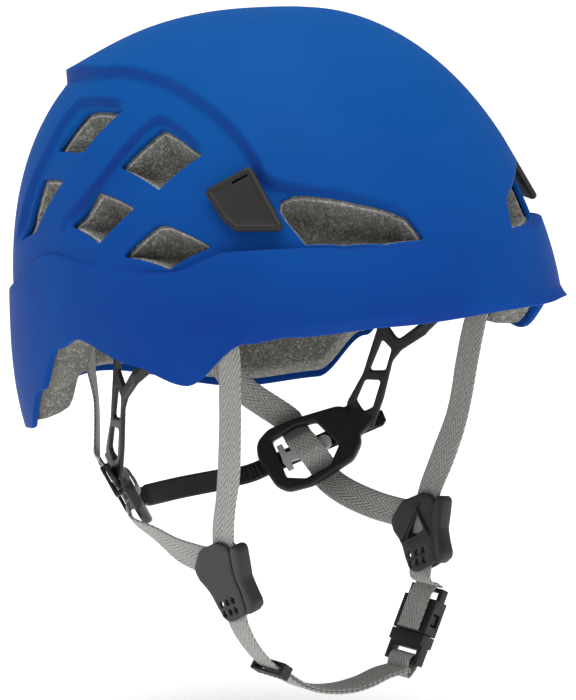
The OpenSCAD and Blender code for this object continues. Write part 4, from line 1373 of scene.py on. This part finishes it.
def make_clip(where, outline, local, side, slit_end):
    """A plate with a slit in its face and a post that goes into the shell."""
    plate = plate_mesh(outline, [], CLIP_LAYERS, 2.4)
    clip = solid("lamp_clip_" + where, plate, local, side, CLIP_BLACK, CLIP_SHARP)
    tilted = frame_of(slit_end, [math.cos(SLIT_TILT), -math.sin(SLIT_TILT), 0], [0, 1, 0])
    slit = set_in(tilted, box_mesh((-7.2, -0.5, 1.4), (0.2, 0.5, 4.0)))
    cut(clip, solid("slit", slit, local, side, CLIP_BLACK))
    post = solid("post", box_mesh((-4.5, 9, -6.5), (4.5, 12.5, 0.5)), local, side, CLIP_BLACK)
    shaded(cut(clip, eased_edges(post, 0.5), "UNION").data, CLIP_SHARP)
    standing_for(clip, "clip_" + where, "clip_black", "headlamp_clip_" + where)


make_clip("left", CLIP_OUTLINE, CLIP_FRAME, 1, [3.4, 9.4, 0])
make_clip("right", CLIP_OUTLINE, CLIP_FRAME, -1, [3.4, 9.4, 0])
make_clip("rear", REAR_OUTLINE, REAR_CLIP, 1, [3, 11, 0])

# ---------------------------------------------------------------- pads

# The slab's gap to the liner and thickness, how far the cloth may swell it, and the simulation's steps
PAD_GAP, PAD_THICK, PAD_SWELL, PAD_FRAMES = 0.9, 6.0, 2.2, 20
# The slab's two faces: depth below the liner, and share of the pad's width and height
PAD_FACES = [(PAD_GAP + 0.3, 0.97, 0.97), (PAD_GAP + PAD_THICK - 2.4, 0.93, 0.91)]
PAD_CORNER, PAD_VOXEL = 0.09, 2.2


def make_pad(name, az_from, az_to, la_from, la_to, *nodes):
    """A foam pad: a slim curved slab swelled by a cloth simulation, flat against the liner."""
    columns, rows = max(8, int((az_to - az_from) / 3)), 7
    middle_az, middle_la = (az_from + az_to) / 2, (la_from + la_to) / 2
    u, v = np.meshgrid(np.linspace(-1, 1, columns + 1), np.linspace(-1, 1, rows + 1))
    vertices, faces = [], []
    for depth, wide, high in PAD_FACES:
        pull = 1 - np.clip(np.abs(u * wide) ** 6 * np.abs(v * high) ** 6, 0, 1) * PAD_CORNER
        az = middle_az + u * wide * pull * (az_to - az_from) / 2
        la = middle_la + v * high * pull * (la_to - la_from) / 2
        vertices.append(at(az, la, base_radius(az, la) - LINER_IN - depth).reshape(-1, 3))
    w = columns + 1
    size = w * (rows + 1)
    for i in range(rows):
        for k in range(i * w, i * w + columns):
            faces += [(k, k + 1, k + w + 1, k + w), (size + k, size + k + w, size + k + w + 1, size + k + 1)]
    border = ([j for j in range(columns)] + [i * w + columns for i in range(rows)]
              + [rows * w + j for j in range(columns, 0, -1)] + [i * w for i in range(rows, 0, -1)])
    faces += band_faces(border, [size + i for i in border])
    pad = applied(remeshed(new_object(name, np.vstack(vertices), faces, PAD_KNIT, 180.0), PAD_VOXEL))
    swell(pad)
    subdivided = pad.modifiers.new("fine", "SUBSURF")
    subdivided.levels = subdivided.render_levels = 1
    shaded(applied(pad).data, 180.0)
    standing_for(pad, "helmet", "pad_fabric", *nodes)


def swell(pad):
    """Runs Blender's cloth with pressure, and keeps every point within PAD_SWELL of where it was."""
    start = np.array([v.co for v in pad.data.vertices])
    cloth = pad.modifiers.new("cloth", "CLOTH")
    cloth.settings.use_pressure = True
    cloth.settings.uniform_pressure_force = 4
    cloth.settings.effector_weights.gravity = 0
    cloth.point_cache.frame_start, cloth.point_cache.frame_end = 1, PAD_FRAMES
    for step in range(1, PAD_FRAMES + 1):
        bpy.context.scene.frame_set(step)
    graph = bpy.context.evaluated_depsgraph_get()
    moved = pad.evaluated_get(graph).to_mesh()
    end = np.array([v.co for v in moved.vertices])
    pad.evaluated_get(graph).to_mesh_clear()
    pad.modifiers.clear()
    bpy.context.scene.frame_set(1)
    shift = end - start
    far = np.linalg.norm(shift, axis=1)[:, None]
    shift *= np.minimum(1, PAD_SWELL * MM / np.maximum(far, 1e-9))
    # Nothing swells into the liner that the pad lies on
    outwards = units(start)
    push = np.sum(shift * outwards, axis=1)[:, None]
    shift -= np.maximum(push, 0) * outwards
    for vertex, place in zip(pad.data.vertices, start + shift):
        vertex.co = place


make_pad("brow_pad", -42, 42, 9.5, 21, "forehead_pad")
for index, nodes in enumerate((["crown_pad"], [], [], [])):
    make_pad(f"top_pad_{index + 1}", index * 90 + 12, index * 90 + 78, 68, 82, *nodes)

# ---------------------------------------------------------------- CAD nodes that keep their shape

for node in ("arm_pins_left", "arm_pins_right", "web_anchors"):
    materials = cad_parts[node].data.materials
    materials.clear()
    materials.append(SOFT_BLACK)

# ---------------------------------------------------------------- stage and light

# The backdrop shows white, and lights the helmet at SKY
SKY = 0.36
SUN_STRENGTH, SUN_SPREAD, SUN_WAY = 2.6, 60, (0.12, 0.1, -1)
# Room below the straps for the released half of the buckle, in metres
FLOOR_DROP = 0.045


def make_stage():
    """A pale floor."""
    bpy.ops.mesh.primitive_plane_add(size=60, location=(0, 0, cad_box[0][2] - FLOOR_DROP))
    floor = bpy.context.object
    floor.name = "floor"
    look = Look("paper", 0.9, 0.1)
    look.set({"Base Color": (0.93, 0.93, 0.93, 1), "Emission Color": (1, 1, 1, 1), "Emission Strength": 0.3})
    floor.data.materials.append(look.material)


def make_light():
    """White surroundings and one broad sun from above."""
    world = bpy.data.worlds.new("studio")
    world.use_nodes = True
    tree = world.node_tree
    backdrop = tree.nodes["Background"].inputs
    backdrop["Color"].default_value = (1, 1, 1, 1)
    strength = tree.nodes.new("ShaderNodeMath")
    strength.operation = "MULTIPLY_ADD"
    strength.inputs[1].default_value = 1 - SKY
    strength.inputs[2].default_value = SKY
    tree.links.new(tree.nodes.new("ShaderNodeLightPath").outputs["Is Camera Ray"], strength.inputs[0])
    tree.links.new(strength.outputs[0], backdrop["Strength"])
    bpy.context.scene.world = world
    bpy.context.scene.view_settings.view_transform = "Standard"
    sun = bpy.data.lights.new("overhead", "SUN")
    sun.energy = SUN_STRENGTH
    sun.angle = math.radians(SUN_SPREAD)
    overhead = bpy.data.objects.new("overhead", sun)
    overhead.rotation_euler = Vector(SUN_WAY).to_track_quat("-Z", "Y").to_euler()
    bpy.context.scene.collection.objects.link(overhead)


make_stage()
make_light()
standing_for(shell, "helmet", "shell_blue", "outer_shell")
standing_for(side_foam, "helmet", "bead_foam", "side_liner")
standing_for(crown_foam, "helmet", "crown_foam", "crown_liner")
